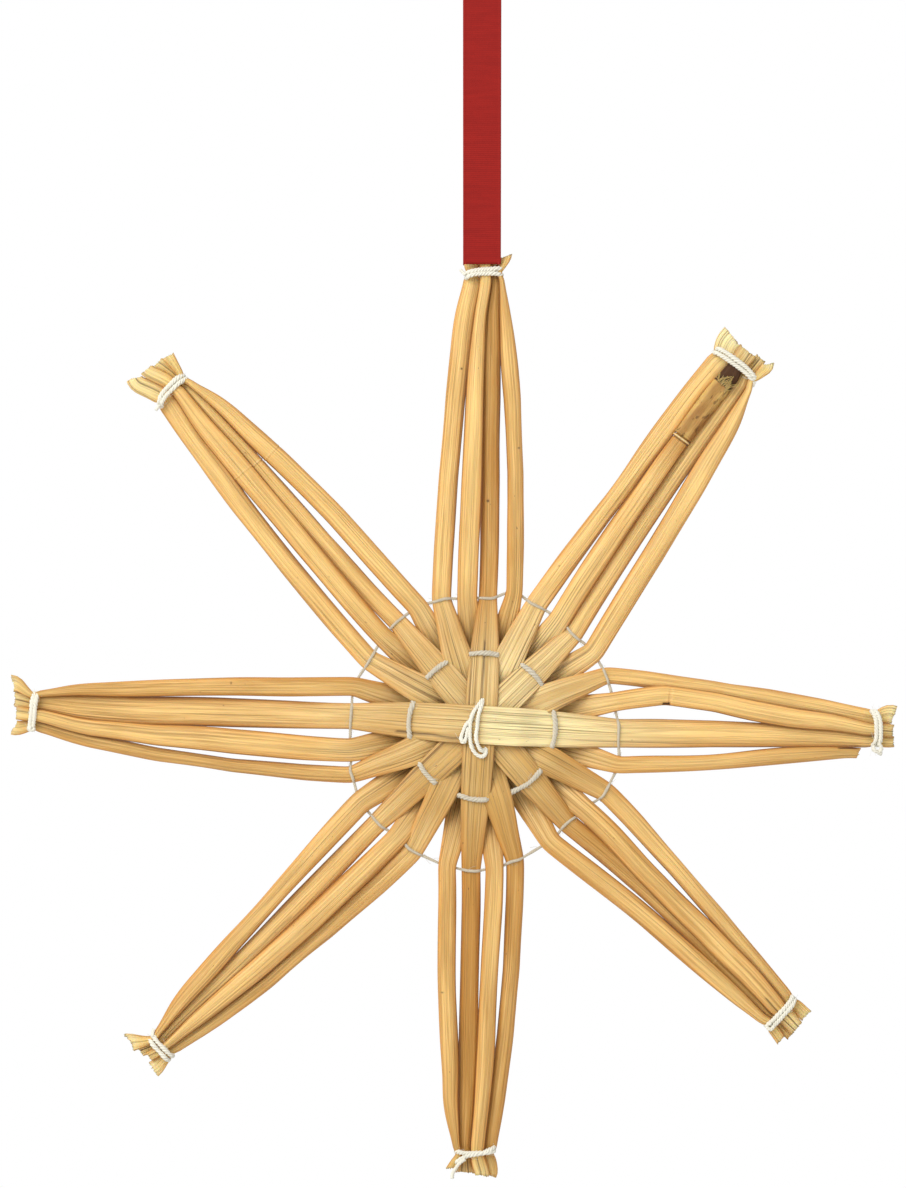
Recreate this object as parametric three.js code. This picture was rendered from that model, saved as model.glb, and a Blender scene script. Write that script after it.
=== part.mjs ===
// Straw star ornament: sixteen straws laid through one centre make eight arms of four.
// The front eight straws and the back eight are each woven onto a thread near the centre, a wider thread
// weaves the two layers into one star, a cotton tie gathers every tip, and a doubled ribbon carries it.
// Millimetres, +Z up, the star's face towards -Y. The origin is the inside of the top of the ribbon's loop,
// where whatever carries the ornament touches it. Bearings are in degrees, clockwise from straight up.

import * as THREE from 'three';

// ---- Driving dimensions: the star ----

const STAR_DROP = 143.5; // from the origin down to the star's centre
const OPPOSITE = 4; // arms between one tip of a straw and its other tip

// One half of a straw: bearing and reach of its kink at the outer thread, the sideways bow of its free
// length (clockwise is positive), the width of that length, and where along it the bow is greatest.
const half = (bearing, reach, bow, width, peak = 0.5) => ({ bearing, reach, bow, width, peak });

// The arms, clockwise from the top: bearing and reach of the tip tie, width of the bundle in the tie, how far
// the cut ends stand past the tie and how wide they fan, then the four half straws clockwise.
const ARMS = [
  {
    name: 'top', bearing: 0.2, reach: 75.5, bundle: 6.8, fanLength: 3.2, fanWidth: 7.8,
    halves: [half(-18, 22.1, -0.7, 3.3), half(-6.8, 21.4, -0.1, 3.4), half(2.6, 21.3, 0.8, 3.1),
      half(13.7, 22.9, 1.2, 2.8)],
  },
  {
    name: 'upper_right', bearing: 34.9, reach: 73.1, bundle: 8.2, fanLength: 4, fanWidth: 10.6,
    halves: [half(24, 22, -0.4, 3.7), half(36, 22, -0.8, 3.6), half(44.8, 21.5, -0.4, 3.4),
      half(56.4, 22.2, 0.5, 3.6)],
  },
  {
    name: 'right', bearing: 90.4, reach: 65.6, bundle: 6.3, fanLength: 3, fanWidth: 7.2,
    halves: [half(67.7, 22.3, -1, 2.8), half(79.4, 22.3, -2.4, 3.3, 0.22), half(93, 22.8, -0.5, 4.9),
      half(106, 23.6, 0, 2.9)],
  },
  {
    name: 'lower_right', bearing: 133.8, reach: 68.8, bundle: 6.8, fanLength: 4.6, fanWidth: 8,
    halves: [half(118, 23.3, -1, 3.4), half(129, 22.1, -1.2, 3.7), half(138.6, 21.5, -1.2, 3.4),
      half(149.4, 22.3, -0.1, 3.5)],
  },
  {
    name: 'bottom', bearing: 180.6, reach: 71.2, bundle: 6.6, fanLength: 4, fanWidth: 8.4,
    halves: [half(166.2, 23.1, -1.2, 3), half(174.8, 23.8, -0.4, 3.1), half(184.4, 24.2, -0.2, 3.2),
      half(194.1, 24, 0.6, 3, 0.8)],
  },
  {
    name: 'lower_left', bearing: 225, reach: 75.2, bundle: 5.6, fanLength: 4.2, fanWidth: 9.4,
    halves: [half(209, 23.8, -1.6, 3.6), half(217.4, 23.2, -0.7, 3.6), half(227.2, 23.7, -0.15, 3.4),
      half(238, 23.8, 0.8, 3.8, 0.6)],
  },
  {
    name: 'left', bearing: 271.8, reach: 74.7, bundle: 6.2, fanLength: 3.7, fanWidth: 9.8,
    halves: [half(249.5, 23.2, -2, 2.8), half(259.6, 22.2, -1.4, 4, 0.6), half(274.4, 21.9, -0.3, 4.4),
      half(287.2, 22.3, 0.3, 3.2)],
  },
  {
    name: 'upper_left', bearing: 317, reach: 76.3, bundle: 6.4, fanLength: 5.4, fanWidth: 9.2,
    halves: [half(300.2, 21.7, -0.8, 3.5), half(312, 22, -0.6, 3.4), half(320.9, 22.4, -0.5, 3.2),
      half(331.8, 22.5, 1, 3.5)],
  },
];

// The straw that has slipped out of its tie: its arm and place, and its cut end measured from that tie
const SLIPPED = { arm: 2, place: 3, shortBy: 2.8, aside: 4.05, depth: -0.55, width: 1.9, thickness: 1.5 };

// ---- Driving dimensions: the straws ----

// How the straws are stacked at the centre, front to back: by their place in the arm, and within a place by
// the first of their two arms
const STACK_OF_PLACES = [2, 0, 3, 1];
const STACK_OF_ARMS = [2, 0, 1, 3];
const STACK_PITCH = 0.5;
const FRONT_PLACES = [0, 2]; // the places whose straws belong to the front layer
const TOP_PLACES = [2, 1]; // the places that lie outermost, one in the front layer and one in the back

const FLAT_WIDTH = 5.2; // a straw pressed flat at the centre
const FLAT_WIDTH_ACROSS = 6.3; // the widest one, which lies on top
const FLAT_THICKNESS = 0.42;
const INNER_REACH = 12.2; // from the centre to the inner threads
const PRESSED_BY_THREAD = 0.78; // widest that a straw can be under a thread, as a share of the spacing there
const ROUND_WIDTH = 3.5; // above this width a free straw is flatter than it is round

// Stations between the centre and the outer thread: distance from the centre, width as a share of the flat
// width, thickness, and the depth of the outermost and of the inner straws of a layer
const NEAR_STATIONS = [
  { along: 6, width: 0.97, thickness: 0.44 },
  { along: 9, width: 0.79, thickness: 0.55, outermost: 2.35, inner: 1.35 },
  { along: INNER_REACH, width: 0.61, thickness: 0.85, outermost: 1.65, inner: 1.95 },
  { along: 17, width: 0.7, thickness: 1.25, outermost: 0.85, inner: 0.85 },
];
const RING_THICKNESS = 1.4;
const RING_DEPTH = -0.35; // at the outer thread the layers have changed places
// Stations along the free length: share of it, width as a share of the half's own, thickness and depth
const FREE_STATIONS = [
  { share: 0.15, width: 0.95, thickness: 2.1, depth: -0.95 },
  { share: 0.38, width: 0.98, thickness: 2.3, depth: -1.3 },
  { share: 0.62, width: 0.94, thickness: 2.3, depth: -1.25 },
  { share: 0.83, width: 0.76, thickness: 2.2, depth: -0.95 },
];
const TIED_THICKNESS = 2.1;
const TIED_DEPTH = -0.25;
const TIED_FILL = 0.9; // width of a tied straw as a share of its slot in the bundle
const END_THICKNESS = 0.7;
const END_FILL = 0.92;
const STRAW_SIDES = 8;

// ---- Driving dimensions: threads and ribbon ----

const THREAD_RADIUS = 0.18;
const THREAD_GAP = 0.1; // between a thread and the straw that it lies on
const THREAD_SIDES = 4;
const SHOULDER = 0.28; // where a thread starts to lie flat on a straw, as a share of the straw's width

const TIE_RADIUS = 0.36;
const TIE_TURNS = 2.1;
const TIE_PITCH = 0.85;
const TIE_STEPS = 22;
const TIE_SQUARENESS = 0.52;
const TIE_GAP = 0.16; // between a tie and the bundle inside it
const TIE_LENGTH = 1.2; // the straws run straight for this far each side of the middle of a tie
const STRAY_TURN = { arm: 4, by: 2.4, wider: 0.3 }; // the tie whose last turn runs off across the cut ends

const KNOT_RADIUS = 0.25;
// The centre thread, from its slit above the top straw, down over that straw and up again: across, up
const KNOT_ROUTE = [
  [-0.5, 3.9], [-1.5, 2.6], [-1.95, 0.8], [-2, -1.6], [-1.6, -3.4], [-0.7, -4.5], [0.3, -4.6],
  [0.5, -4.05], [-0.2, -3.5], [-0.85, -2.4], [-1, -0.4], [-0.8, 1.4], [-0.2, 2.9], [0.15, 3.9],
];

const RIBBON_WIDTH = 6.3;
const RIBBON_THICKNESS = 0.3;
const RIBBON_FOOT = 76.9; // height of the ribbon's cut ends above the star's centre
const RIBBON_FOOT_DEPTH = 1.5; // each side of the straws that it is fixed to
const LOOP_RADIUS = 12.6; // twice the ribbon's width
const RIBBON_LEG_POINTS = 5;
const RIBBON_ARCH_POINTS = 7; // from the end of a leg to the top of the loop
const RIBBON_STEPS = 26; // an even number, so that one of them is at the top of the loop

// ---- Materials ----

const straw = () => new THREE.MeshStandardMaterial({ color: 0xe2b268, roughness: 0.55, metalness: 0 });
const cotton = () => new THREE.MeshStandardMaterial({ color: 0xe6dcc0, roughness: 0.9, metalness: 0 });
const satin = () => new THREE.MeshStandardMaterial({ color: 0xa32a26, roughness: 0.45, metalness: 0 });

// ---- Shared geometry ----

const BACK = new THREE.Vector3(0, 1, 0);

// The point at a bearing and reach from the star's centre
function polar(bearing, reach) {
  const angle = THREE.MathUtils.degToRad(bearing);
  return new THREE.Vector3(reach * Math.sin(angle), 0, reach * Math.cos(angle));
}

// One cross section of a lofted piece, square to the way it runs
function section(centre, along, side, halfWidth, halfThickness) {
  const way = along.clone().normalize();
  const across = side.clone().addScaledVector(way, -side.dot(way)).normalize();
  const deep = way.clone().cross(across);
  return { centre, across: across.multiplyScalar(halfWidth), deep: deep.multiplyScalar(halfThickness) };
}

// Which way a line of points runs at one of them
function wayAt(points, i) {
  const last = points.length - 1;
  return points[Math.min(i + 1, last)].clone().sub(points[Math.max(i - 1, 0)]).normalize();
}

const signedPower = (value, power) => Math.sign(value) * Math.abs(value) ** power;

// A closed solid through the sections: a cylinder whose rings are laid onto them one by one
function loft(sections, sides, squareness = 1) {
  const steps = sections.length - 1;
  const geometry = new THREE.CylinderGeometry(1, 1, 1, sides, steps);
  const position = geometry.getAttribute('position');
  const vertex = new THREE.Vector3();
  for (let i = 0; i < position.count; i += 1) {
    vertex.fromBufferAttribute(position, i);
    const { centre, across, deep } = sections[Math.round((0.5 - vertex.y) * steps)];
    const x = signedPower(vertex.x, squareness);
    const z = signedPower(vertex.z, squareness);
    vertex.copy(centre).addScaledVector(across, x).addScaledVector(deep, z);
    position.setXYZ(i, vertex.x, vertex.y, vertex.z);
  }
  geometry.computeVertexNormals();
  return geometry;
}

// A thread along a line of points, kept the same way up by a side direction at each point
function threadAlong(points, sideAt, radius) {
  const sections = points.map((point, i) => (
    section(point, wayAt(points, i), sideAt(point, i), radius, radius)
  ));
  return loft(sections, THREAD_SIDES);
}

const star = new THREE.Group();
star.position.set(0, 0, -STAR_DROP);

function addTo(group, name, geometry, material) {
  const mesh = new THREE.Mesh(geometry, material);
  mesh.name = name;
  group.add(mesh);
}

// ---- The tips: where each arm's tie sits and where its straws pass through it ----

const tips = ARMS.map((arm, armIndex) => {
  const out = polar(arm.bearing, 1);
  const clockwise = polar(arm.bearing + 90, 1);
  const middle = polar(arm.bearing, arm.reach);
  const held = arm.halves.filter((_, place) => armIndex !== SLIPPED.arm || place !== SLIPPED.place).length;
  const slot = arm.bundle / held;
  // A point of the bundle: place in the arm, distance past the middle of the tie, and how far it has fanned
  const at = (place, past, spread) => middle.clone()
    .addScaledVector(out, past)
    .addScaledVector(clockwise, (place - (held - 1) / 2) * slot * spread);
  return { out, clockwise, middle, slot, at };
});

// ---- The straws ----

const isFront = (place) => FRONT_PLACES.includes(place);
const layerSign = (place) => (isFront(place) ? -1 : 1); // the front layer is towards -Y
const rings = ARMS.map((arm) => arm.halves.map(({ bearing, reach }) => polar(bearing, reach)));

// Distance from the kink of a half straw to the nearer of its neighbours' kinks
function spacingAtRing(armIndex, place) {
  const all = rings.flat();
  const index = armIndex * ARMS[0].halves.length + place;
  const before = all[(index + all.length - 1) % all.length];
  const after = all[(index + 1) % all.length];
  return Math.min(all[index].distanceTo(before), all[index].distanceTo(after));
}

const ringWidth = (armIndex, place) => Math.min(
  ARMS[armIndex].halves[place].width,
  PRESSED_BY_THREAD * spacingAtRing(armIndex, place),
);

const depthInStack = (armIndex, place) => {
  const layers = STACK_OF_PLACES.length * STACK_OF_ARMS.length;
  const layer = STACK_OF_PLACES.indexOf(place) * STACK_OF_ARMS.length + STACK_OF_ARMS.indexOf(armIndex);
  return (layer - (layers - 1) / 2) * STACK_PITCH;
};

// How much of its bow a half straw has at a share of its free length
function bowShape(share, peak) {
  const toPeak = share < peak ? share / peak : (1 - share) / (1 - peak);
  return Math.sin(toPeak * Math.PI / 2);
}

// Stations from the straw's middle out to one tip: point in the plane of the star, depth, width, thickness
function halfStations(middle, armIndex, place, stackDepth, flatWidth) {
  const { bow, width, peak } = ARMS[armIndex].halves[place];
  const { out, clockwise, middle: tieMiddle, slot, at } = tips[armIndex];
  const ring = rings[armIndex][place];
  const inward = ring.clone().sub(middle).normalize();
  const sign = layerSign(place);
  const depthKey = TOP_PLACES.includes(place) ? 'outermost' : 'inner';
  const slipped = armIndex === SLIPPED.arm && place === SLIPPED.place;
  const foot = slipped
    ? tieMiddle.clone().addScaledVector(out, -SLIPPED.shortBy).addScaledVector(clockwise, SLIPPED.aside)
    : at(place, -TIE_LENGTH, 1);
  const free = foot.clone().sub(ring);
  const bowSide = new THREE.Vector3(free.z, 0, -free.x).normalize();
  const roundness = Math.min(1, ROUND_WIDTH / width);

  const near = NEAR_STATIONS.map((station) => ({
    point: middle.clone().addScaledVector(inward, station.along),
    depth: depthKey in station ? sign * station[depthKey] : stackDepth,
    width: station.width * flatWidth,
    thickness: station.thickness,
    inner: station.along === INNER_REACH,
  }));
  const atRing = {
    point: ring.clone(),
    depth: sign * RING_DEPTH,
    width: ringWidth(armIndex, place),
    thickness: RING_THICKNESS,
  };
  const along = FREE_STATIONS.map((station) => ({
    point: ring.clone().addScaledVector(free, station.share)
      .addScaledVector(bowSide, bow * bowShape(station.share, peak)),
    depth: sign * station.depth,
    width: station.width * width,
    thickness: station.thickness * roundness,
  }));
  const tied = slipped
    ? [{ point: foot, depth: sign * SLIPPED.depth, width: SLIPPED.width, thickness: SLIPPED.thickness }]
    : [
      { point: foot, depth: sign * TIED_DEPTH, width: TIED_FILL * slot, thickness: TIED_THICKNESS },
      {
        point: at(place, TIE_LENGTH, 1), depth: sign * TIED_DEPTH, width: TIED_FILL * slot,
        thickness: TIED_THICKNESS,
      },
      {
        point: at(place, ARMS[armIndex].fanLength, ARMS[armIndex].fanWidth / ARMS[armIndex].bundle),
        depth: sign * TIED_DEPTH, width: END_FILL * slot * ARMS[armIndex].fanWidth / ARMS[armIndex].bundle,
        thickness: END_THICKNESS,
      },
    ];
  return { near, atRing, all: [...near, atRing, ...along, ...tied] };
}

// Where the threads cross each half straw, by arm and place
const outerCrossings = ARMS.map(() => []);
const innerCrossings = ARMS.map(() => []);

for (let armIndex = 0; armIndex < OPPOSITE; armIndex += 1) {
  for (let place = 0; place < ARMS[armIndex].halves.length; place += 1) {
    const far = armIndex + OPPOSITE;
    const from = rings[armIndex][place];
    const to = rings[far][place];
    const axis = new THREE.Line3(from, to);
    const middle = axis.closestPointToPoint(new THREE.Vector3(), true, new THREE.Vector3());
    const stackDepth = depthInStack(armIndex, place);
    const widest = STACK_OF_PLACES[0] === place && STACK_OF_ARMS[0] === armIndex;
    const flatWidth = widest ? FLAT_WIDTH_ACROSS : FLAT_WIDTH;
    const nearHalf = halfStations(middle, armIndex, place, stackDepth, flatWidth);
    const farHalf = halfStations(middle, far, place, stackDepth, flatWidth);
    const centre = { point: middle, depth: stackDepth, width: flatWidth, thickness: FLAT_THICKNESS };
    const stations = [...nearHalf.all.reverse(), centre, ...farHalf.all];

    const plan = stations.map(({ point }) => point);
    const sections = stations.map((station, i) => {
      const way = wayAt(plan, i);
      const side = new THREE.Vector3(way.z, 0, -way.x);
      const point = station.point.clone().addScaledVector(BACK, station.depth);
      return section(point, way, side, station.width / 2, station.thickness / 2);
    });
    addTo(star, `straw_${ARMS[armIndex].name}_${place + 1}`, loft(sections, STRAW_SIDES), straw());

    for (const [index, { near, atRing }] of [[armIndex, nearHalf], [far, farHalf]]) {
      outerCrossings[index][place] = atRing;
      innerCrossings[index][place] = near.find(({ inner }) => inner);
    }
  }
}

// ---- The threads that weave the straws together ----

// The two points where a thread lies across a half straw, in front of it (-1) or behind it (+1)
function crossing({ point, depth, width, thickness }, side) {
  const clockwise = new THREE.Vector3(point.z, 0, -point.x).normalize();
  const clear = side * (thickness / 2 + THREAD_RADIUS + THREAD_GAP);
  return [-1, 1].map((edge) => point.clone()
    .addScaledVector(clockwise, edge * SHOULDER * width)
    .addScaledVector(BACK, depth + clear));
}

// A thread once round the star through its crossings, with its two ends side by side at the first of them
function wovenThread(crossings) {
  const points = crossings.flatMap((pair, i) => {
    const next = crossings[(i + 1) % crossings.length];
    return [...pair, pair[1].clone().lerp(next[0], 0.5)];
  });
  const first = crossings[0];
  const start = first[0].clone().lerp(first[1], 0.7);
  const end = first[0].clone().lerp(first[1], 0.3);
  const line = [start, ...points.slice(1), first[0].clone(), end];
  return threadAlong(line, (point) => new THREE.Vector3(point.x, 0, point.z), THREAD_RADIUS);
}

// The crossings of these places in order round the star, clockwise from the top arm's first place given
function roundTheStar(crossings, places) {
  const all = crossings.flatMap((arm) => places.map((place) => ({ ...arm[place], place })));
  const bearing = ({ point }) => Math.atan2(point.x, point.z);
  const first = bearing(all[0]);
  const turn = (each) => (bearing(each) - first + 2 * Math.PI) % (2 * Math.PI);
  return all.sort((a, b) => turn(a) - turn(b));
}

const frontThenBack = (isInFront) => (each) => crossing(each, isInFront(each.place) ? -1 : 1);
const isTop = (place) => TOP_PLACES.includes(place);
const outerTurn = roundTheStar(outerCrossings, [1, 2, 3, 0]).map(frontThenBack(isFront));
const frontTurn = roundTheStar(innerCrossings, [0, 2]).map(frontThenBack(isTop));
const backTurn = roundTheStar(innerCrossings, [3, 1]).map(frontThenBack((place) => !isTop(place)));
addTo(star, 'thread_outer', wovenThread(outerTurn), cotton());
addTo(star, 'thread_inner_front', wovenThread(frontTurn), cotton());
addTo(star, 'thread_inner_back', wovenThread(backTurn), cotton());

// ---- The centre thread over the straw that lies on top ----

const topOfStack = depthInStack(STACK_OF_ARMS[0], STACK_OF_PLACES[0]) - FLAT_THICKNESS / 2;
const knotPoints = KNOT_ROUTE.map(([across, up]) => new THREE.Vector3(
  across,
  topOfStack - KNOT_RADIUS - THREAD_GAP,
  up,
));
addTo(star, 'thread_centre', threadAlong(knotPoints, () => BACK, KNOT_RADIUS), cotton());

// ---- The tip ties ----

ARMS.forEach((arm, armIndex) => {
  const { out, clockwise, middle } = tips[armIndex];
  const halfWidth = arm.bundle / 2 + TIE_RADIUS + TIE_GAP;
  const halfDepth = TIED_THICKNESS / 2 - TIED_DEPTH + TIE_RADIUS + TIE_GAP;
  const points = Array.from({ length: TIE_STEPS + 1 }, (_, i) => {
    const turn = TIE_TURNS * i / TIE_STEPS;
    const angle = 2 * Math.PI * turn + Math.PI / 2;
    const stray = armIndex === STRAY_TURN.arm && turn > 1 ? STRAY_TURN.by * (1 + Math.cos(angle)) / 2 : 0;
    const reachAcross = halfWidth + STRAY_TURN.wider * stray;
    return middle.clone()
      .addScaledVector(out, TIE_PITCH * (turn - TIE_TURNS / 2) + stray)
      .addScaledVector(clockwise, reachAcross * signedPower(Math.cos(angle), TIE_SQUARENESS))
      .addScaledVector(BACK, halfDepth * signedPower(Math.sin(angle), TIE_SQUARENESS));
  });
  addTo(star, `tie_${arm.name}`, threadAlong(points, () => out, TIE_RADIUS), cotton());
});

// ---- The hanging ribbon ----

// Depth and height of the leg in front of the straws, straight up from its foot, then round to the top
const loopHeight = STAR_DROP - LOOP_RADIUS; // the inside of the top of the loop is the origin
const archRadius = LOOP_RADIUS + RIBBON_THICKNESS / 2;
const archStart = -Math.atan2(archRadius - RIBBON_FOOT_DEPTH, loopHeight - RIBBON_FOOT);
const onArch = (angle) => new THREE.Vector2(
  archRadius * Math.cos(angle),
  loopHeight + archRadius * Math.sin(angle),
);
const ribbonFoot = new THREE.Vector2(RIBBON_FOOT_DEPTH, RIBBON_FOOT);
const leg = Array.from({ length: RIBBON_LEG_POINTS }, (_, i) => (
  ribbonFoot.clone().lerp(onArch(archStart), i / RIBBON_LEG_POINTS)
));
const quarter = Array.from({ length: RIBBON_ARCH_POINTS + 1 }, (_, i) => (
  onArch(THREE.MathUtils.lerp(archStart, Math.PI / 2, i / RIBBON_ARCH_POINTS))
));
const frontHalf = [...leg, ...quarter].map(({ x, y }) => new THREE.Vector3(0, -x, y));
const backHalf = frontHalf.slice(0, -1).reverse().map(({ y, z }) => new THREE.Vector3(0, -y, z));

// A flat band with eased edges, its width along the section's first axis
const edge = RIBBON_WIDTH / 2;
const face = RIBBON_THICKNESS / 2;
const ribbonSection = new THREE.Shape([
  new THREE.Vector2(-edge, -face / 2), new THREE.Vector2(-edge + face, -face),
  new THREE.Vector2(edge - face, -face), new THREE.Vector2(edge, -face / 2),
  new THREE.Vector2(edge, face / 2), new THREE.Vector2(edge - face, face),
  new THREE.Vector2(-edge + face, face), new THREE.Vector2(-edge, face / 2),
]);
const ribbonGeometry = new THREE.ExtrudeGeometry(ribbonSection, {
  steps: RIBBON_STEPS,
  bevelEnabled: false,
  extrudePath: new THREE.CatmullRomCurve3([...frontHalf, ...backHalf]),
});
addTo(star, 'hanging_ribbon', ribbonGeometry, satin());

export default star;
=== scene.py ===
import math

import bpy
import numpy as np
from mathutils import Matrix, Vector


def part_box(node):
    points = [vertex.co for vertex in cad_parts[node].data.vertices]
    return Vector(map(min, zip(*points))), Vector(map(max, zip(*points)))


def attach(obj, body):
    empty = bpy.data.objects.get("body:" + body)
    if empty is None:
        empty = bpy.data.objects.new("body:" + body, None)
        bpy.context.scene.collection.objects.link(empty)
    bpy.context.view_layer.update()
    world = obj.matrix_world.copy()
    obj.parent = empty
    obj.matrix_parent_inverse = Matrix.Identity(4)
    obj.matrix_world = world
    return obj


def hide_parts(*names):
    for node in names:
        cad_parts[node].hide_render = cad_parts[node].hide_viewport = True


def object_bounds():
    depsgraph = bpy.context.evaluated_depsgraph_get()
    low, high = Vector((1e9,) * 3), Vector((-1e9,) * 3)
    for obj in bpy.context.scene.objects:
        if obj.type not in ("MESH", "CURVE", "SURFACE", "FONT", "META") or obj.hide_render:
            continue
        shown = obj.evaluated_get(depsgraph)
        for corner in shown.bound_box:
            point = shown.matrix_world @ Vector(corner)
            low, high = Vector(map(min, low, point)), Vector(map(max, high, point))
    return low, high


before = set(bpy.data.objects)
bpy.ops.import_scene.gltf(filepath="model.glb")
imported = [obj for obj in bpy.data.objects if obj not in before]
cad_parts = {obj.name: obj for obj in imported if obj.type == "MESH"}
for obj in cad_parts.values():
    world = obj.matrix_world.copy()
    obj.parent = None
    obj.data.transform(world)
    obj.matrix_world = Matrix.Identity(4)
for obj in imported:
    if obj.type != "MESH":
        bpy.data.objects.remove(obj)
cad_low, cad_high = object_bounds()


# ---- The view ----
# The star hangs straight in front of a long lens, with its ribbon running out of the top of the view.
# The inside of the top of the ribbon's loop is the origin, and the star's centre hangs below it.

mm = 0.001
VIEW_HEIGHT = 198 * mm
LENS_DISTANCE = 1.0
STAR_DROP = 143.5 * mm  # from the inside of the top of the loop down to the star's centre
VIEW_ASIDE = -4.83 * mm  # from the star's centre to the middle of the view
VIEW_UP = 22 * mm

lens = bpy.data.cameras.new("camera")
lens.lens = lens.sensor_width * LENS_DISTANCE / VIEW_HEIGHT
lens.clip_start = 10 * mm
camera = bpy.data.objects.new("camera", lens)
camera.location = (VIEW_ASIDE, -LENS_DISTANCE, VIEW_UP - STAR_DROP)
camera.rotation_euler = (math.radians(90), 0, 0)
bpy.context.scene.collection.objects.link(camera)
bpy.context.scene.camera = camera


# ---- The hanging ribbon ----
# One length of quarter-inch red satin ribbon, doubled into a loop. Its two cut ends are fixed flat against
# the top tip, one in front of the straws and one behind them.

RIBBON_WIDTH = 6.3 * mm
RIBBON_THICKNESS = 0.3 * mm
RIBBON_FOOT = 76.9 * mm  # height of the cut ends above the star's centre
RIBBON_FOOT_DEPTH = 1.5 * mm
LOOP_RADIUS = 12.6 * mm
RIBBON_LEG_STEPS = 90
RIBBON_ARCH_STEPS = 50
RIBBON_SIDES = 64
SELVEDGE_PLACE = 0.93  # shares of the half width, and for the rise of the thickness
SELVEDGE_WIDTH = 0.045
SELVEDGE_RISE = 0.5
# The red of the weft in painted shade and in painted light
SHADED_WEFT = (0.26, 0.0045, 0.002)
LIT_WEFT = (0.34, 0.008, 0.0035)


class Wire:
    """One output of a node, on which sums are written as they are on numbers."""

    def __init__(self, finish, socket):
        self.finish = finish
        self.socket = socket

    def sum(self, operation, *values):
        return self.finish.node("Math", {"operation": operation}, dict(enumerate(values)))

    def __add__(self, other):
        return self.sum("ADD", self, other)

    def __radd__(self, other):
        return self.sum("ADD", other, self)

    def __sub__(self, other):
        return self.sum("SUBTRACT", self, other)

    def __rsub__(self, other):
        return self.sum("SUBTRACT", other, self)

    def __mul__(self, other):
        return self.sum("MULTIPLY", self, other)

    def __rmul__(self, other):
        return self.sum("MULTIPLY", other, self)


class Finish:
    """A material: a Principled shader and the nodes that feed it."""

    def __init__(self, name, plain):
        self.material = bpy.data.materials.new(name)
        self.material.use_nodes = True
        self.tree = self.material.node_tree
        self.shader = self.tree.nodes["Principled BSDF"]
        for socket, value in plain.items():
            self.feed(self.shader.inputs[socket], value)

    def feed(self, socket, value):
        if isinstance(value, Wire):
            self.tree.links.new(value.socket, socket)
        elif socket.type == "RGBA":
            socket.default_value = (*value, 1)
        else:
            socket.default_value = value

    def node(self, kind, settings, sockets, output=0):
        node = self.tree.nodes.new("ShaderNode" + kind)
        for setting, value in settings.items():
            setattr(node, setting, value)
        for socket, value in sockets.items():
            self.feed(node.inputs[socket], value)
        return Wire(self, node.outputs[output])

    def mark(self, name, output="Fac"):
        return self.node("Attribute", {"attribute_name": name}, {}, output)

    def grain(self, vector, squeeze, scale, detail=2, roughness=0.5):
        """Noise, drawn out along the axes in which its vector is squeezed."""
        place = self.node("VectorMath", {"operation": "MULTIPLY"}, {0: vector, 1: squeeze})
        sockets = {"Vector": place, "Scale": scale, "Detail": detail, "Roughness": roughness}
        return self.node("TexNoise", {}, sockets)

    def rise(self, value, low, high):
        """0 where the value is under low, 1 where it is over high, and smooth between them."""
        sockets = {"Value": value, "From Min": low, "From Max": high}
        return self.node("MapRange", {"interpolation_type": "SMOOTHSTEP"}, sockets)

    def mixed(self, first, second, share):
        return self.node("Mix", {"data_type": "RGBA"}, {0: share, 6: first, 7: second}, 2)

    def bump(self, height, distance, strength=1):
        sockets = {"Height": height, "Distance": distance, "Strength": strength}
        return self.node("Bump", {}, sockets)

    def wear(self, **channels):
        for name, value in channels.items():
            self.feed(self.shader.inputs[name.replace("_", " ")], value)


def grid_faces(steps, sides, start):
    """Faces of a tube whose rings hold as many points each, and of its two end caps."""
    near = start + np.arange((steps - 1) * sides).reshape(steps - 1, sides)
    far = near + sides
    quads = np.stack([near, far, np.roll(far, -1, 1), np.roll(near, -1, 1)], -1).reshape(-1, 4)
    first = start + np.arange(sides)
    last = first + (steps - 1) * sides
    caps_at = start + steps * sides
    foot = np.stack([np.full(sides, caps_at), first, np.roll(first, -1)], -1)
    head = np.stack([np.full(sides, caps_at + 1), np.roll(last, -1), last], -1)
    return [*quads.tolist(), *foot.tolist(), *head.tolist()]


def with_caps(rings):
    """The points of a tube in one row, and after them the middle of its first and its last ring."""
    flat = rings.reshape(-1, *rings.shape[2:])
    return np.concatenate([flat, rings[:1].mean(1), rings[-1:].mean(1)])


def make_piece(name, tubes, finish, marks=None):
    """An object of closed tubes, each given as rings x points x 3. Marks are numbers or vectors for its
    points, by name, as one array of rings x points for each tube."""
    faces = []
    start = 0
    for rings in tubes:
        steps, sides = rings.shape[:2]
        faces += grid_faces(steps, sides, start)
        start += steps * sides + 2
    mesh = bpy.data.meshes.new(name)
    mesh.from_pydata(np.concatenate([with_caps(rings) for rings in tubes]).tolist(), [], faces)
    for mark, arrays in (marks or {}).items():
        values = np.concatenate([with_caps(np.asarray(array)) for array in arrays])
        kind, slot = ("FLOAT_VECTOR", "vector") if values.ndim == 2 else ("FLOAT", "value")
        attribute = mesh.attributes.new(mark, kind, "POINT")
        attribute.data.foreach_set(slot, values.astype(np.float32).ravel())
    mesh.polygons.foreach_set("use_smooth", np.ones(len(mesh.polygons), bool))
    mesh.materials.append(finish.material)
    piece = bpy.data.objects.new(name, mesh)
    bpy.context.scene.collection.objects.link(piece)
    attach(piece, "root")
    return piece


def line_frames(line, across):
    """At each point of a line: the way it runs, a given direction made square to it, and the third axis."""
    way = np.gradient(line, axis=0)
    way /= np.linalg.norm(way, axis=1, keepdims=True)
    side = across - (across * way).sum(1, keepdims=True) * way
    side /= np.linalg.norm(side, axis=1, keepdims=True)
    return way, side, np.cross(side, way)


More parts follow.
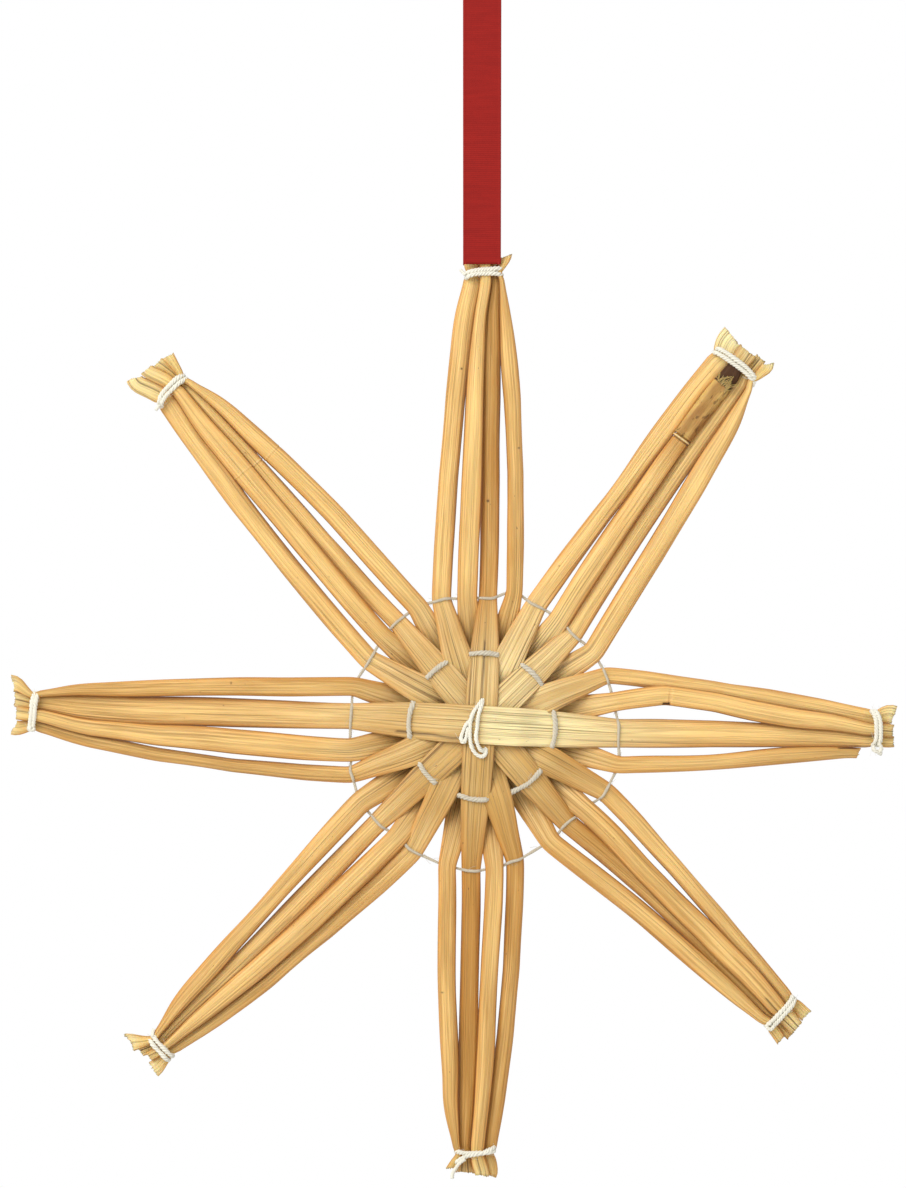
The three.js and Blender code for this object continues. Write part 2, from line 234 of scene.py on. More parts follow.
def distances(line):
    """How far along a line each of its points is."""
    return np.concatenate([[0], np.cumsum(np.linalg.norm(np.diff(line, axis=0), axis=1))])


def tube(line, side, front, radius, sides):
    turn = np.linspace(0, 2 * math.pi, sides, endpoint=False)
    radius = np.broadcast_to(radius, len(line))[:, None, None]
    ring = np.cos(turn)[:, None] * side[:, None] + np.sin(turn)[:, None] * front[:, None]
    return line[:, None] + radius * ring


def ribbon_route():
    """The middle line of the ribbon: up the front leg, round the loop and down the leg behind."""
    loop_height = STAR_DROP - LOOP_RADIUS
    radius = LOOP_RADIUS + RIBBON_THICKNESS / 2
    start = -math.atan2(radius - RIBBON_FOOT_DEPTH, loop_height - RIBBON_FOOT)
    angles = np.linspace(start, math.pi / 2, RIBBON_ARCH_STEPS + 1)
    arch = np.stack([radius * np.cos(angles), loop_height + radius * np.sin(angles)], 1)
    foot = np.array([RIBBON_FOOT_DEPTH, RIBBON_FOOT])
    leg = foot + (arch[0] - foot) * np.linspace(0, 1, RIBBON_LEG_STEPS, endpoint=False)[:, None]
    depth, height = np.concatenate([leg, arch]).T
    front = np.stack([0 * depth, -depth, height - STAR_DROP], 1)
    return np.concatenate([front, (front * (1, -1, 1))[-2::-1]])


def ribbon_section():
    """Across the ribbon, a flat band with a corded selvedge along both edges."""
    turn = np.linspace(0, 2 * math.pi, RIBBON_SIDES, endpoint=False)
    across = np.sign(np.cos(turn)) * abs(np.cos(turn)) ** 0.62
    selvedge = 1 + SELVEDGE_RISE * np.exp(-(((abs(across) - SELVEDGE_PLACE) / SELVEDGE_WIDTH) ** 2))
    out = np.sign(np.sin(turn)) * abs(np.sin(turn)) ** 0.2 * selvedge
    return across * RIBBON_WIDTH / 2, out * RIBBON_THICKNESS / 2


satin = Finish("red_satin", {"Sheen Weight": 0.05, "Sheen Roughness": 0.4, "Specular IOR Level": 0.25})
weave_place = satin.mark("weave_place", "Vector")
weft = satin.node(
    "TexWave",
    {"wave_type": "BANDS", "bands_direction": "Y", "wave_profile": "SIN"},
    {"Vector": weave_place, "Scale": 950, "Distortion": 0.6, "Detail": 1, "Detail Scale": 2},
)
floats = satin.grain(weave_place, (1, 0.12, 1), 9000)
slubs = satin.grain(weave_place, (0.15, 1, 1), 1500, 3)
thread_height = weft * 0.5 + floats * 0.5
# Painted highlight: the weft is painted lighter where its threads stand higher and where the yarn is
# slubbed
lit = satin.rise(slubs * 0.5 + thread_height * 0.5, 0.3, 0.75)
satin.wear(
    Base_Color=satin.mixed(SHADED_WEFT, LIT_WEFT, lit),
    Roughness=0.5 + 0.2 * floats,
    Normal=satin.bump(thread_height, 0.04 * mm, 0.5),
)

route = ribbon_route()
_, ribbon_side, ribbon_out = line_frames(route, np.array([1.0, 0, 0]))
across, out = ribbon_section()
rings = route[:, None] + ribbon_side[:, None] * across[:, None] + ribbon_out[:, None] * out[:, None]
travelled = distances(route)
weave = np.stack(
    [
        np.broadcast_to(across, rings.shape[:2]),
        np.broadcast_to(travelled[:, None], rings.shape[:2]),
        np.broadcast_to(out, rings.shape[:2]),
    ],
    -1,
)
ribbon = make_piece("hanging_ribbon_satin", [rings], satin, {"weave_place": [weave]})
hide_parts("hanging_ribbon")


# ---- The straws ----
# Sixteen natural straws, soaked soft, each laid right through the centre from one tip to the opposite one.
# They are pressed flat where they cross, stay round further out and are cut off a little past the ties.

ARMS = ["top", "upper_right", "right", "lower_right", "bottom", "lower_left", "left", "upper_left"]
OPPOSITE = 4  # arms between one tip of a straw and its other tip
PLACES = 4
STAR_CENTRE = np.array([0, 0, -STAR_DROP])

LINE_STEP = 0.5 * mm  # between the places where a straw's line is read from the frame
RING_STEP = 0.55 * mm
STRAW_SIDES = 60
BEND_EASE = 0.6 * mm
WALL = 0.17 * mm
HOLLOW = 5 * mm  # how far the inside of an open end is made
FLAT_FILL = 1.03  # a real straw's widths, as shares of those of the plain solids
FREE_FILL = 1.05
FREE_DEPTH_FILL = 1.12
FLAT_OUT_TO = 3 * mm  # where the plain solid's flat width is read
DEPTH_FILLS_OVER = [17 * mm, 30 * mm]
SETTLED = 0.4  # of the way from the outer thread to the first station, where a straw is as wide as it gets
AT_INNER_THREAD = 0.93  # of the flat width
AT_OUTER_THREAD = 0.97  # of the free width, and again at the first station
BETWEEN_THREADS = (0.88, 1.1)  # of the flat width and of that at the outer thread, then averaged
SECTION_RATIOS = [0.1, 0.3, 0.65]  # thickness to width
SECTION_POWERS = [4.2, 3.2, 2.5]  # 2 makes an oval, and more a flatter band
CUT_ZONE = 3.5 * mm  # the last stretch, in which the cut ends differ
STATIONS = np.array([-28, -14, -7, 0.3]) * mm  # past the middle of a tie, where an arm's straws are set out
SQUEEZED_SHORT = 0.9 * mm  # how far short of the last station a straw has already come to its width there
TIP_DEPTHS = np.array([0.8, 0.7, 0.65, 0.6, 0.6, 0.4]) * mm  # at the stations, off the star's middle plane
TIP_THICKNESSES = np.array([2.3, 2.2, 2, 1.5, 1.3, 0.7]) * mm
TIED_IN = 0.14  # how much the cord of a tie draws its straws in, and over what length
TIED_OVER = 0.8 * mm

# Each arm's four straws, clockwise, in millimetres from the arm's middle line, positive clockwise: the two
# edges of each straw at every station and then at its cut end, and how far past the tie each corner stands.
TIPS = {
    "top": [
        [(-6.8, -3.6), (-3.2, 0), (-0.3, 2.8), (3.85, 6.5)],
        [(-5.6, -2.2), (-2.35, 0.25), (-0.1, 2.85), (2.85, 5.65)],
        [(-4.75, -1.4), (-1.5, 0.5), (0.2, 2.8), (2.7, 4.6)],
        [(-3.3, -0.4), (-0.6, 1.4), (1.1, 2.8), (2.6, 3.4)],
        [(-3.4, -0.7), (-0.9, 1.1), (0.9, 2.7), (2.5, 4.8)],
        [(2.6, 2.8), (3, 2.9), (3, 2.9), (2.3, 3)],
    ],
    "upper_right": [
        [(-5.1, -1.95), (-1.9, 1.45), (1.3, 4.3), (5, 8.6)],
        [(-5.1, -1.5), (-1.6, 1.25), (1.1, 4.15), (4, 7.5)],
        [(-4.8, -1.4), (-1.5, 1.6), (1.5, 4.05), (3.9, 6.6)],
        [(-4.4, -0.7), (-1.1, 2), (1.8, 4), (3.8, 4.9)],
        [(-4.9, -0.3), (-1.2, 2.3), (2.1, 4), (3.8, 6)],
        [(4.1, 3.9), (3.5, 3.4), (3.8, 3.7), (3.3, 3.7)],
    ],
    "right": [
        [(-7.9, -5.3), (-6.1, -2.8), (-1.2, 3.3), (4.5, 7.05)],
        [(-5.7, -3.1), (-3.4, -0.15), (-0.5, 3.2), (3.1, 5.8)],
        [(-4.5, -1.8), (-2.4, 0.4), (0.2, 3.15), (3, 5.1)],
        [(-3.3, -0.7), (-1, 1.2), (1, 3.1), (3.1, 4.9)],
        [(-4, -0.4), (-0.7, 1.4), (1.2, 3), (3.2, 4.95)],
        [(3.1, 2.95), (2.85, 2.8), (3, 3), (-2.6, -3.3)],
    ],
    "lower_right": [
        [(-6.6, -3.8), (-3, 0.6), (-0.9, 2.25), (2.4, 5.8)],
        [(-5.2, -2.5), (-2.75, 1), (-0.5, 2.2), (1.9, 5)],
        [(-4.4, -2.2), (-2.5, 1), (0, 2.1), (1.8, 4.45)],
        [(-3.7, -1.6), (-1.8, 1.3), (1, 2.3), (2, 3.7)],
        [(-3.7, -1.4), (-1.3, 1.2), (1.1, 2.5), (2.4, 4.2)],
        [(3.7, 3.6), (3.8, 4), (4, 4.1), (3.2, 3.5)],
    ],
    "bottom": [
        [(-6.65, -3.9), (-3.2, -0.3), (-0.1, 3), (3.7, 6.7)],
        [(-5.4, -2.6), (-2.8, 0.2), (-0.1, 3.15), (3, 5.85)],
        [(-4.5, -1.9), (-2.1, 0.5), (0.2, 3.1), (3, 5.2)],
        [(-3.5, -1.4), (-1.5, 0.9), (0.7, 2.9), (2.7, 3.7)],
        [(-3.6, -2.2), (-2.3, 0), (0, 3.4), (2.9, 4.9)],
        [(3.8, 3.6), (3.7, 3.3), (3.2, 3.05), (2.1, 2.6)],
    ],
    "lower_left": [
        [(-6.75, -4.1), (-4.4, -0.8), (-1.2, 2.35), (2.85, 5.65)],
        [(-5.35, -3), (-3.15, -0.05), (-0.5, 2.1), (1.9, 5)],
        [(-4.1, -2), (-2.2, 0.25), (0, 1.9), (1.7, 4.25)],
        [(-2.7, -1), (-1.2, 0.2), (0, 1.7), (1.5, 2.7)],
        [(-3.2, -0.3), (-0.5, 1.1), (1, 3), (2.6, 6.3)],
        [(4.2, 3.9), (3, 3), (3.4, 3.5), (3.2, 3.8)],
    ],
    "left": [
        [(-8.3, -6.15), (-5.4, -1.45), (-1.5, 3.35), (3.6, 6.5)],
        [(-6.4, -4.1), (-4.1, -1.1), (-1.5, 3.15), (3, 5.5)],
        [(-5.05, -2.9), (-3.15, -0.6), (-0.9, 3.15), (3, 4.8)],
        [(-3.3, -1.5), (-1.7, 0.6), (0.3, 3), (2.6, 3.6)],
        [(-3.9, -1.2), (-1.3, 0.9), (0.8, 3.4), (3.1, 6.2)],
        [(3.5, 2.8), (2.8, 2.85), (3.1, 3.3), (3.1, 3.8)],
    ],
    "upper_left": [
        [(-6.45, -3.1), (-2.5, 1.1), (0.6, 3.4), (4.25, 7.6)],
        [(-5.1, -1.6), (-1.8, 1.8), (1.4, 3.6), (3.5, 6.6)],
        [(-4.15, -1.05), (-1.15, 1.9), (1.6, 3.55), (3.4, 5.7)],
        [(-3.2, 0), (-0.1, 2.2), (1.9, 3.3), (2.8, 3.9)],
        [(-4.2, -1.5), (-1.6, 0.6), (0.6, 2.8), (2.8, 4.9)],
        [(5.9, 5.4), (5.4, 5), (5.1, 4.6), (4.6, 4.3)],
    ],
}
SLIPPED = ("right", 3)  # the straw that has come out of its tie
KINKED = ("right", 1)  # the straw that has buckled
KINK_AT = -33.9 * mm  # past the tie
PLAIN_KINK_AT = -35.8 * mm  # where the frame's solid has it
KINK_OVER = 7 * mm


def polar(bearing):
    return np.array([math.sin(bearing), 0, math.cos(bearing)])


def edges_of(node):
    """Both ends of every edge of a solid in the frame, measured from the star's centre."""
    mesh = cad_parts[node].data
    points = np.array([vertex.co for vertex in mesh.vertices]) - STAR_CENTRE
    ends = np.array([edge.vertices[:] for edge in mesh.edges])
    return points[ends[:, 0]], points[ends[:, 1]]


def cut_across(edges, way, distance):
    """Where a plane square to a direction crosses the edges of a solid."""
    start, end = edges
    before, after = start @ way - distance, end @ way - distance
    crossed = before * after < 0
    share = before[crossed] / (before - after)[crossed]
    return start[crossed] + share[:, None] * (end - start)[crossed]


def tie_place(arm):
    """The middle of an arm's tie in the plane of the star, the way out and the clockwise way there."""
    low, high = (np.array(corner) - STAR_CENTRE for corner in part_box("tie_" + ARMS[arm]))
    middle = (low + high) / 2 * (1, 0, 1)
    if ARMS[arm] == "bottom":  # its last turn runs off across the cut ends, so the box reaches further out
        middle[2] += 0.9 * mm
    out = middle / np.linalg.norm(middle)
    return middle, out, np.array([out[2], 0, -out[0]])


def tied_edges(arm):
    """The two sides of the bundle of straws in an arm's tie."""
    edges = [pair for place, pair in enumerate(TIPS[ARMS[arm]][3]) if (ARMS[arm], place) != SLIPPED]
    return np.array([np.min(edges), np.max(edges)]) * mm


def eased(values, step, over):
    """Values at equal steps, each averaged with its neighbours over about this length."""
    reach = int(math.ceil(3 * over / step))
    weights = np.exp(-0.5 * (np.arange(-reach, reach + 1) * step / over) ** 2)
    ends = np.arange(1, reach + 1)
    before = values[0] - (values[1] - values[0]) * ends[::-1]
    after = values[-1] + (values[-1] - values[-2]) * ends
    return np.convolve(np.concatenate([before, values, after]), weights / weights.sum(), "valid")


def thread_reach(node):
    """How far from the centre a woven thread of the frame runs, at any bearing."""
    edges = edges_of(node)
    bearings, reaches = [], []
    for bearing in np.radians(np.arange(0, 360, 0.5)):
        out = polar(bearing)
        cut = cut_across(edges, polar(bearing + math.pi / 2), 0) @ out
        if (cut > 0).any():
            bearings.append(bearing)
            reaches.append(cut[cut > 0].mean())
    return lambda bearing: np.interp(bearing, bearings, reaches, period=2 * math.pi)


outer_reach = thread_reach("thread_outer")
inner_reach = thread_reach("thread_inner_front")


class Wander:
    """A value that drifts smoothly and evenly about zero, the same on every run."""

    def __init__(self, seed, length):
        draw = np.random.default_rng(seed)
        self.rates = 2 * math.pi / length * draw.uniform(0.5, 1.6, 5)
        self.starts = draw.uniform(0, 2 * math.pi, 5)

    def __call__(self, along):
        return sum(np.sin(rate * along + start) for rate, start in zip(self.rates, self.starts)) / 2


def smooth_through(place, places, values):
    """A smooth curve through a few values, level at the first of them."""
    slopes = np.gradient(values, places)
    slopes[0] = 0
    before = np.clip(np.searchsorted(places, place) - 1, 0, len(places) - 2)
    step = places[before + 1] - places[before]
    share = np.clip((place - places[before]) / step, 0, 1)
    start, end = values[before], values[before + 1]
    blend = start + (end - start) * share**2 * (3 - 2 * share)
    pull = slopes[before] * share * (1 - share) ** 2 - slopes[before + 1] * share**2 * (1 - share)
    return blend + step * pull


class HalfStraw:
    """One half of a straw, from the centre out to a tip, by distance along the straw's own direction."""

    def __init__(self, straw, arm):
        self.straw = straw
        self.arm = arm
        self.middle, self.out, self.clockwise = tie_place(arm)
        self.end = 1 if self.out @ straw.way > 0 else -1
        *edges, lengths = np.array(TIPS[ARMS[arm]])[:, straw.place] * mm
        edges = np.array(edges)
        self.lengths = lengths
        self.called = (ARMS[arm], straw.place)
        self.slipped = self.called == SLIPPED
        pasts = np.append(STATIONS, lengths.max())
        if self.slipped:
            pasts[-2] = (STATIONS[-2] + lengths.max()) / 2
        else:  # the straw runs straight through its tie
            edges = np.insert(edges, -2, edges[-2], 0)
            pasts = np.insert(pasts, -2, STATIONS[-1] - SQUEEZED_SHORT)
        self.middles, self.widths, self.pasts = edges.mean(1), np.diff(edges)[:, 0], pasts

    def along(self, past, aside=0):
        """The distance along the straw of a point past the tie, both measured from the tie's middle."""
        return (self.middle + past * self.out + aside * self.clockwise) @ self.straw.way

    def past(self, along):
        """The reverse: how far past the tie's middle a distance along the straw is."""
        return self.end * along - self.end * self.along(0)

    def at(self, far, along, values):
        """The value this far out, from values all along the straw."""
        return np.interp(far, self.end * along[:: self.end], values[:: self.end])

    def corrected(self, along, read, values, start):
        """Values read from the frame that, from a starting point on, come to the ones at each station."""
        places = [self.end * start] + [self.end * self.along(past) for past in self.pasts]
        changes = [0.0] + [value - self.at(place, along, read) for place, value in zip(places[1:], values)]
        return read + smooth_through(self.end * along, np.array(places), np.array(changes))


class Straw:
    """One straw of the frame: the line it follows and its width and thickness all along."""

    def __init__(self, arm, place):
        self.place = place
        self.seed = PLACES * arm + place
        self.node = f"straw_{ARMS[arm]}_{place + 1}"
        edges = edges_of(self.node)
        tip_to_tip = tie_place(arm)[0] - tie_place(arm + OPPOSITE)[0]
        self.way = tip_to_tip / np.linalg.norm(tip_to_tip)
        self.side = np.array([self.way[2], 0, -self.way[0]])
        self.layer = 1 if place in (0, 2) else -1  # behind or in front where the straws run free
        reach = np.concatenate(edges) @ self.way
        read_at = np.arange(reach.min() + 0.1 * mm, reach.max() - 0.1 * mm, LINE_STEP)
        cuts = [cut_across(edges, self.way, distance) for distance in read_at]
        across = np.array([((cut @ self.side).min(), (cut @ self.side).max()) for cut in cuts])
        deep = np.array([(cut[:, 1].min(), cut[:, 1].max()) for cut in cuts])
        self.halves = [HalfStraw(self, arm), HalfStraw(self, arm + OPPOSITE)]
        tips = [half.along(half.lengths.max(), half.middles[-1]) for half in self.halves]
        self.along = np.arange(min(tips), max(tips) + LINE_STEP, LINE_STEP)
        self.aside = np.interp(self.along, read_at, across.mean(1))
        self.depth = np.interp(self.along, read_at, deep.mean(1))
        self.inner = [self.crossing(inner_reach, half.end) for half in self.halves]
        self.outer = [self.crossing(outer_reach, half.end) for half in self.halves]
        wide = np.interp(self.along, read_at, np.diff(across)[:, 0])
        wide *= np.cos(np.arctan(np.gradient(self.aside, self.along)))
        self.flat = FLAT_FILL * wide[abs(self.along) < FLAT_OUT_TO].max()
        self.wide = self.true_width(wide)
        thick = np.interp(self.along, read_at, np.diff(deep)[:, 0])
        self.thick = thick * np.interp(abs(self.along), DEPTH_FILLS_OVER, [1, FREE_DEPTH_FILL])
        for half, outer in zip(self.halves, self.outer):
            if half.called == KINKED:
                share = np.exp(-(((half.past(self.along) - KINK_AT) / KINK_OVER) ** 2))
                moved = self.along + half.end * (PLAIN_KINK_AT - KINK_AT) * share
                self.aside = np.interp(moved, self.along, self.aside)
            self.lay_out_tip(half, outer)
        for name in ("aside", "depth", "wide", "thick"):
            setattr(self, name, eased(getattr(self, name), LINE_STEP, BEND_EASE))
        for half in self.halves:
            if not half.slipped:
                self.draw_in(half)

    def true_width(self, wide):
        """The widths of the frame's solid, filled out to those of a real straw."""
        width = wide * FREE_FILL
        for half, inner, outer in zip(self.halves, self.inner, self.outer):
            last = half.along(STATIONS[0])
            settled = outer + SETTLED * (last - outer)
            free = FREE_FILL * half.at(half.end * settled, self.along, wide)
            ring = AT_OUTER_THREAD * free
            between = (BETWEEN_THREADS[0] * self.flat + BETWEEN_THREADS[1] * ring) / 2
            stations = np.abs([0, inner / 2, inner, (inner + outer) / 2, outer, settled, last])
            widths = [self.flat, self.flat, AT_INNER_THREAD * self.flat, between, ring, free, ring]
            here = half.end * self.along >= 0
            width[here] = np.interp(abs(self.along[here]), stations, widths)
        return width

    def lay_out_tip(self, half, outer):
        asides = [
            (half.middle + past * half.out + aside * half.clockwise) @ self.side
            for past, aside in zip(half.pasts, half.middles)
        ]
        self.aside = half.corrected(self.along, self.aside, asides, outer)
        self.wide = half.corrected(self.along, self.wide, half.widths, outer)
        if half.slipped:
            return
        self.depth = half.corrected(self.along, self.depth, self.layer * TIP_DEPTHS, outer)
        self.thick = half.corrected(self.along, self.thick, TIP_THICKNESSES, outer)

    def draw_in(self, half):
        """Squeezes the straw towards the middle of its bundle where the cord lies."""
        past = half.past(self.along)
        middle = tied_edges(half.arm).mean()
        bundle = (half.middle + past[:, None] * half.out + middle * half.clockwise) @ self.side
        squeeze = 1 - TIED_IN * np.exp(-((past / TIED_OVER) ** 2))
        self.aside = bundle + (self.aside - bundle) * squeeze
        self.wide = self.wide * squeeze

    def line(self, along):
        """Points of the middle line."""
        aside = np.interp(along, self.along, self.aside)
        depth = np.interp(along, self.along, self.depth)
        plan = along[..., None] * self.way + aside[..., None] * self.side
        return STAR_CENTRE + plan + depth[..., None] * np.array([0, 1, 0])

    def crossing(self, reach, end):
        """The distance along the straw at which a woven thread crosses it, towards one end."""
        half = self.along[end * self.along > 0]
        plan = half[:, None] * self.way + np.interp(half, self.along, self.aside)[:, None] * self.side
        past = np.hypot(plan[:, 0], plan[:, 2]) - reach(np.arctan2(plan[:, 0], plan[:, 2]))
        return half[np.argmin(abs(past))]


def oval(ratio, columns):
    """Points round a section of unit half width and half thickness, evenly spaced at this ratio of them."""
    power = np.interp(ratio, SECTION_RATIOS, SECTION_POWERS)
    turn = np.linspace(0, 2 * math.pi, 361)
    x = np.sign(np.cos(turn)) * abs(np.cos(turn)) ** (2 / power)
    y = np.sign(np.sin(turn)) * abs(np.sin(turn)) ** (2 / power)
    steps = np.hypot(np.diff(x), ratio * np.diff(y))
    round_it = np.concatenate([[0], np.cumsum(steps)]) / steps.sum()
    share = np.arange(columns) / columns
    return np.interp(share, round_it, x), np.interp(share, round_it, y)


# How brown the four straws of an arm are, from pale to dark
TONES = {
    "top": (0.2, 0.08, 0.8, 0.45),
    "upper_right": (-0.05, 0.05, -0.1, 0.1),
    "right": (0.1, 0.05, 0, 0.35),
    "lower_right": (0.32, 0.4, 0.65, 0.5),
    "bottom": (0.72, 0.38, 1.1, 0.5),
    "lower_left": (0.4, 0.25, 0.2, 0.4),
    "left": (0.45, 0.2, 0.3, 0.45),
    "upper_left": (0.1, 0.25, 0.2, 0.1),
}
# The same where the straws of an arm are pressed flat, but for one that is all pale
MIDDLE_TONES = {
    "top": 0.72,
    "upper_right": 0.45,
    "right": 0.55,
    "lower_right": 0.85,
    "bottom": 0.88,
    "lower_left": 0.88,
    "left": 0.72,
    "upper_left": 0.7,
}
PALE_MIDDLE = ("right", 2)
# The joints of the stalk that show as rings: in which arm and straw, how far past the tie, and how strongly
JOINTS = [
    ("upper_right", 1, -14.15, 1),
    ("upper_right", 1, -14.8, 1),
    ("upper_left", 1, -18.2, 0.22),
    ("upper_left", 2, -18.6, 0.3),
    ("upper_left", 3, -19.2, 0.22),
    ("lower_right", 2, -13.5, 0.2),
]
# Splits, creases and specks: arm, straw, from and to past the tie, place across (-1 to 1, clockwise), half
# width, depth and darkness, which is partly their own dark colour and partly painted shade in their grooves
SCARS = [
    ("top", 2, -71.8, -61.2, 0.02, 0.11, 0.12, 0.9),
    ("top", 2, -38.2, -37.8, -0.25, 0.2, 0.05, 1),
    ("top", 0, -16.1, -15.8, 0.3, 0.16, 0.03, 1),
    ("top", 3, -29.3, -29.1, 0.6, 0.2, 0.03, 1),
    ("bottom", 3, -27.1, -26.9, 0.55, 0.2, 0.03, 1),
    ("bottom", 3, -61.2, -61, 0.3, 0.2, 0.03, 1),
    ("left", 3, -33, -32.8, 0.4, 0.2, 0.03, 1),
    ("left", 2, -73, -60.6, -0.74, 0.2, 0.2, 0.75),
    ("right", 1, -34.6, -34.1, 0.2, 1.6, 0.15, 0.03),
    ("right", 1, -35.7, -34.3, 0.92, 0.3, 0.3, 1),
    ("right", 3, -6.2, -3, -0.8, 0.14, 0.12, 0.9),
    ("lower_right", 1, -3.4, 0, 0.3, 0.13, 0.12, 0.8),
    ("lower_left", 2, -30, -1, -0.3, 0.12, 0.1, 0.35),
]
# Splits that run in from the cut ends: arm, straw, how far out, place across and darkness
END_SPLITS = [
    ("upper_left", 0, 6, 0.2, 0.7),
    ("upper_left", 2, 6, 0.1, 0.7),
    ("bottom", 1, 4, 0.1, 0.8),
    ("bottom", 2, 4, -0.3, 0.8),
    ("bottom", 2, 4, 0.4, 0.8),
    ("lower_right", 1, 4, -0.2, 0.8),
    ("lower_right", 1, 4, 0.5, 0.8),
    ("lower_left", 1, 4, 0.2, 0.8),
    ("lower_left", 2, 4, 0.1, 0.8),
    ("left", 2, 4, -0.1, 0.8),
    ("left", 1, 4, 0.3, 0.7),
    ("upper_right", 1, 4, 0.3, 0.8),
    ("upper_right", 2, 4, -0.1, 0.8),
    ("right", 1, 4, 0.1, 0.8),
]
END_SPLITS_FROM = 0.4
END_SPLIT_SIZE = 0.1  # half width, and depth
for arm, place, far, across, darkness in END_SPLITS:
    SCARS.append((arm, place, END_SPLITS_FROM, far, across, END_SPLIT_SIZE, END_SPLIT_SIZE, darkness))
SCAR_DRIFT = 0.03  # how far a scar wanders across a straw of unit half width
SCAR_DRIFT_LENGTH = 9 * mm
SCAR_EASE = 0.3 * mm
JOINT_WIDTH = 0.15 * mm
GROOVE_WIDTH = 0.13 * mm  # of the groove beside a joint's ring
GROOVE_OFFSET = 0.3 * mm
JOINT_HEIGHT = 0.2 * mm
RIB_HEIGHT = 0.014 * mm
RIBS = 15
RIB_TWIST = 1.5
RELIEF_LENGTH = 60 * mm  # over which ribs and dents drift
SLOPE_STEP = 0.3 * mm  # each way along a straw, to find which way it runs
LEAST_HALVES = (0.1 * mm, 0.05 * mm)  # of its width and thickness
GRAIN_APART = 0.4  # between one straw's place in the grain and the next one's
DENTS = [(3, 0.05 * mm, 2), (5, 0.04 * mm, 3)]  # how many round the straw, their depth and their twist
# The straw whose leaf sheath has rotted from the joint up to the tie, and from where it is quite black
ROTTEN = ("upper_right", 1)
ROTTEN_FROM = -14.4 * mm
BLACK_FROM = -3.6 * mm
ROTTEN_BROWNS_OVER = [-24 * mm, -16 * mm]  # where the straw darkens towards the rotten part, and how much
ROTTEN_BROWNS = 0.75
END_PALES_OVER = [-1 * mm, 1 * mm]  # where the straws turn paler at a tie, and how much
END_PALES = 0.35
# Distances from the centre: out to the second the middle's tone, and from the third the arm's
TONES_OVER = (1.5 * mm, 15 * mm, 26 * mm)
PAINTED_CONTACT_SHADOW_AT = [-50 * mm, -22 * mm, -12 * mm, -1 * mm, 1 * mm]  # past the tie
PAINTED_CONTACT_SHADOW = [0.3, 0.9, 1, 1, 0.2]  # how dark the painted contact shadow is there, on the line between two straws that touch
PAINTED_CONTACT_SHADOW_LINE = (0.94, 1.2, 0.1)  # from and to, in half widths from the middle line, and how soft it is
PRESSED_RATIOS = [0.12, 0.5]  # thickness to width of a straw quite flat and of one quite round
RAGGED = 0.08 * mm  # how unevenly an end is cut


def within(value, low, high, soft):
    """1 between two values and 0 well outside them."""
    rise = np.clip((value - low) / soft + 0.5, 0, 1)
    fall = np.clip((high - value) / soft + 0.5, 0, 1)
    return rise * rise * (3 - 2 * rise) * fall * fall * (3 - 2 * fall)


def section(straw, along):
    """Each point's place across the straw and out of it, with the half width and the half thickness."""
    half_wide = np.interp(along, straw.along, straw.wide) / 2
    half_thick = np.interp(along, straw.along, straw.thick) / 2
    columns = along.shape[1]
    places = [oval(ratio, columns) for ratio in (half_thick / half_wide).mean(1)]
    x, y = np.array(places).transpose(1, 0, 2)
    return x, y, half_wide, half_thick


def scars_of(straw, along, x, y, half_wide):
    """Each point's scar depth and darkness (own colour and painted shade in the grooves), and joint height.
    """
    depth, dark, joint = np.zeros_like(along), np.zeros_like(along), np.zeros_like(along)
    for half in straw.halves:
        past = half.past(along)
        here = half.end * along > 0
        for arm, place, low, high, across, half_width, deep, darkness in SCARS:
            if half.called == (arm, place):
                aside = half.end * x - across + SCAR_DRIFT * Wander(straw.seed, SCAR_DRIFT_LENGTH)(along)
                groove = np.exp(-((aside * half_wide / (half_width * mm)) ** 2)) * (y > 0)
                groove = groove * within(past, low * mm, high * mm, SCAR_EASE) * here
                depth = depth + deep * mm * groove
                dark = np.maximum(dark, darkness * groove)
        for arm, place, at, strength in JOINTS:
            if half.called == (arm, place):
                beyond = past - at * mm
                ring = np.exp(-((beyond / JOINT_WIDTH) ** 2))
                groove = np.exp(-(((beyond + GROOVE_OFFSET) / GROOVE_WIDTH) ** 2))
                joint = joint + strength * here * (ring - groove)
    return depth, dark, joint


FINE_STEPS = np.array([-0.6, -0.45, -0.3, -0.2, -0.1, 0, 0.1, 0.2, 0.3, 0.45, 0.6]) * mm
SHORT_SCAR = 1.5


def fine_places(straw):
    """Distances along a straw where its short features need more rings."""
    places = []
    for half in straw.halves:
        for arm, place, at, _ in JOINTS:
            if half.called == (arm, place):
                places.append(half.along(at * mm))
        for arm, place, low, high, *_ in SCARS:
            if half.called == (arm, place) and high - low < SHORT_SCAR:
                places.append(half.along((low + high) / 2 * mm))
    return np.add.outer(places, FINE_STEPS).ravel()


def straw_relief(straw, along, x, y, half_wide):
    """The low ribs and long dents of a dry stalk, its joints and its scars."""
    turn = np.arange(along.shape[1]) / along.shape[1] * 2 * math.pi
    drift = [Wander(10 * straw.seed + number, RELIEF_LENGTH) for number in range(4)]
    ribs = RIB_HEIGHT * np.cos(RIBS * turn + RIB_TWIST * drift[0](along))
    dents = sum(
        height * np.cos(count * turn + twist * wander(along))
        for (count, height, twist), wander in zip(DENTS, drift[1:])
    )
    depth, _, joint = scars_of(straw, along, x, y, half_wide)
    return ribs + dents * (0.6 + 0.4 * drift[3](along)) + JOINT_HEIGHT * joint - depth


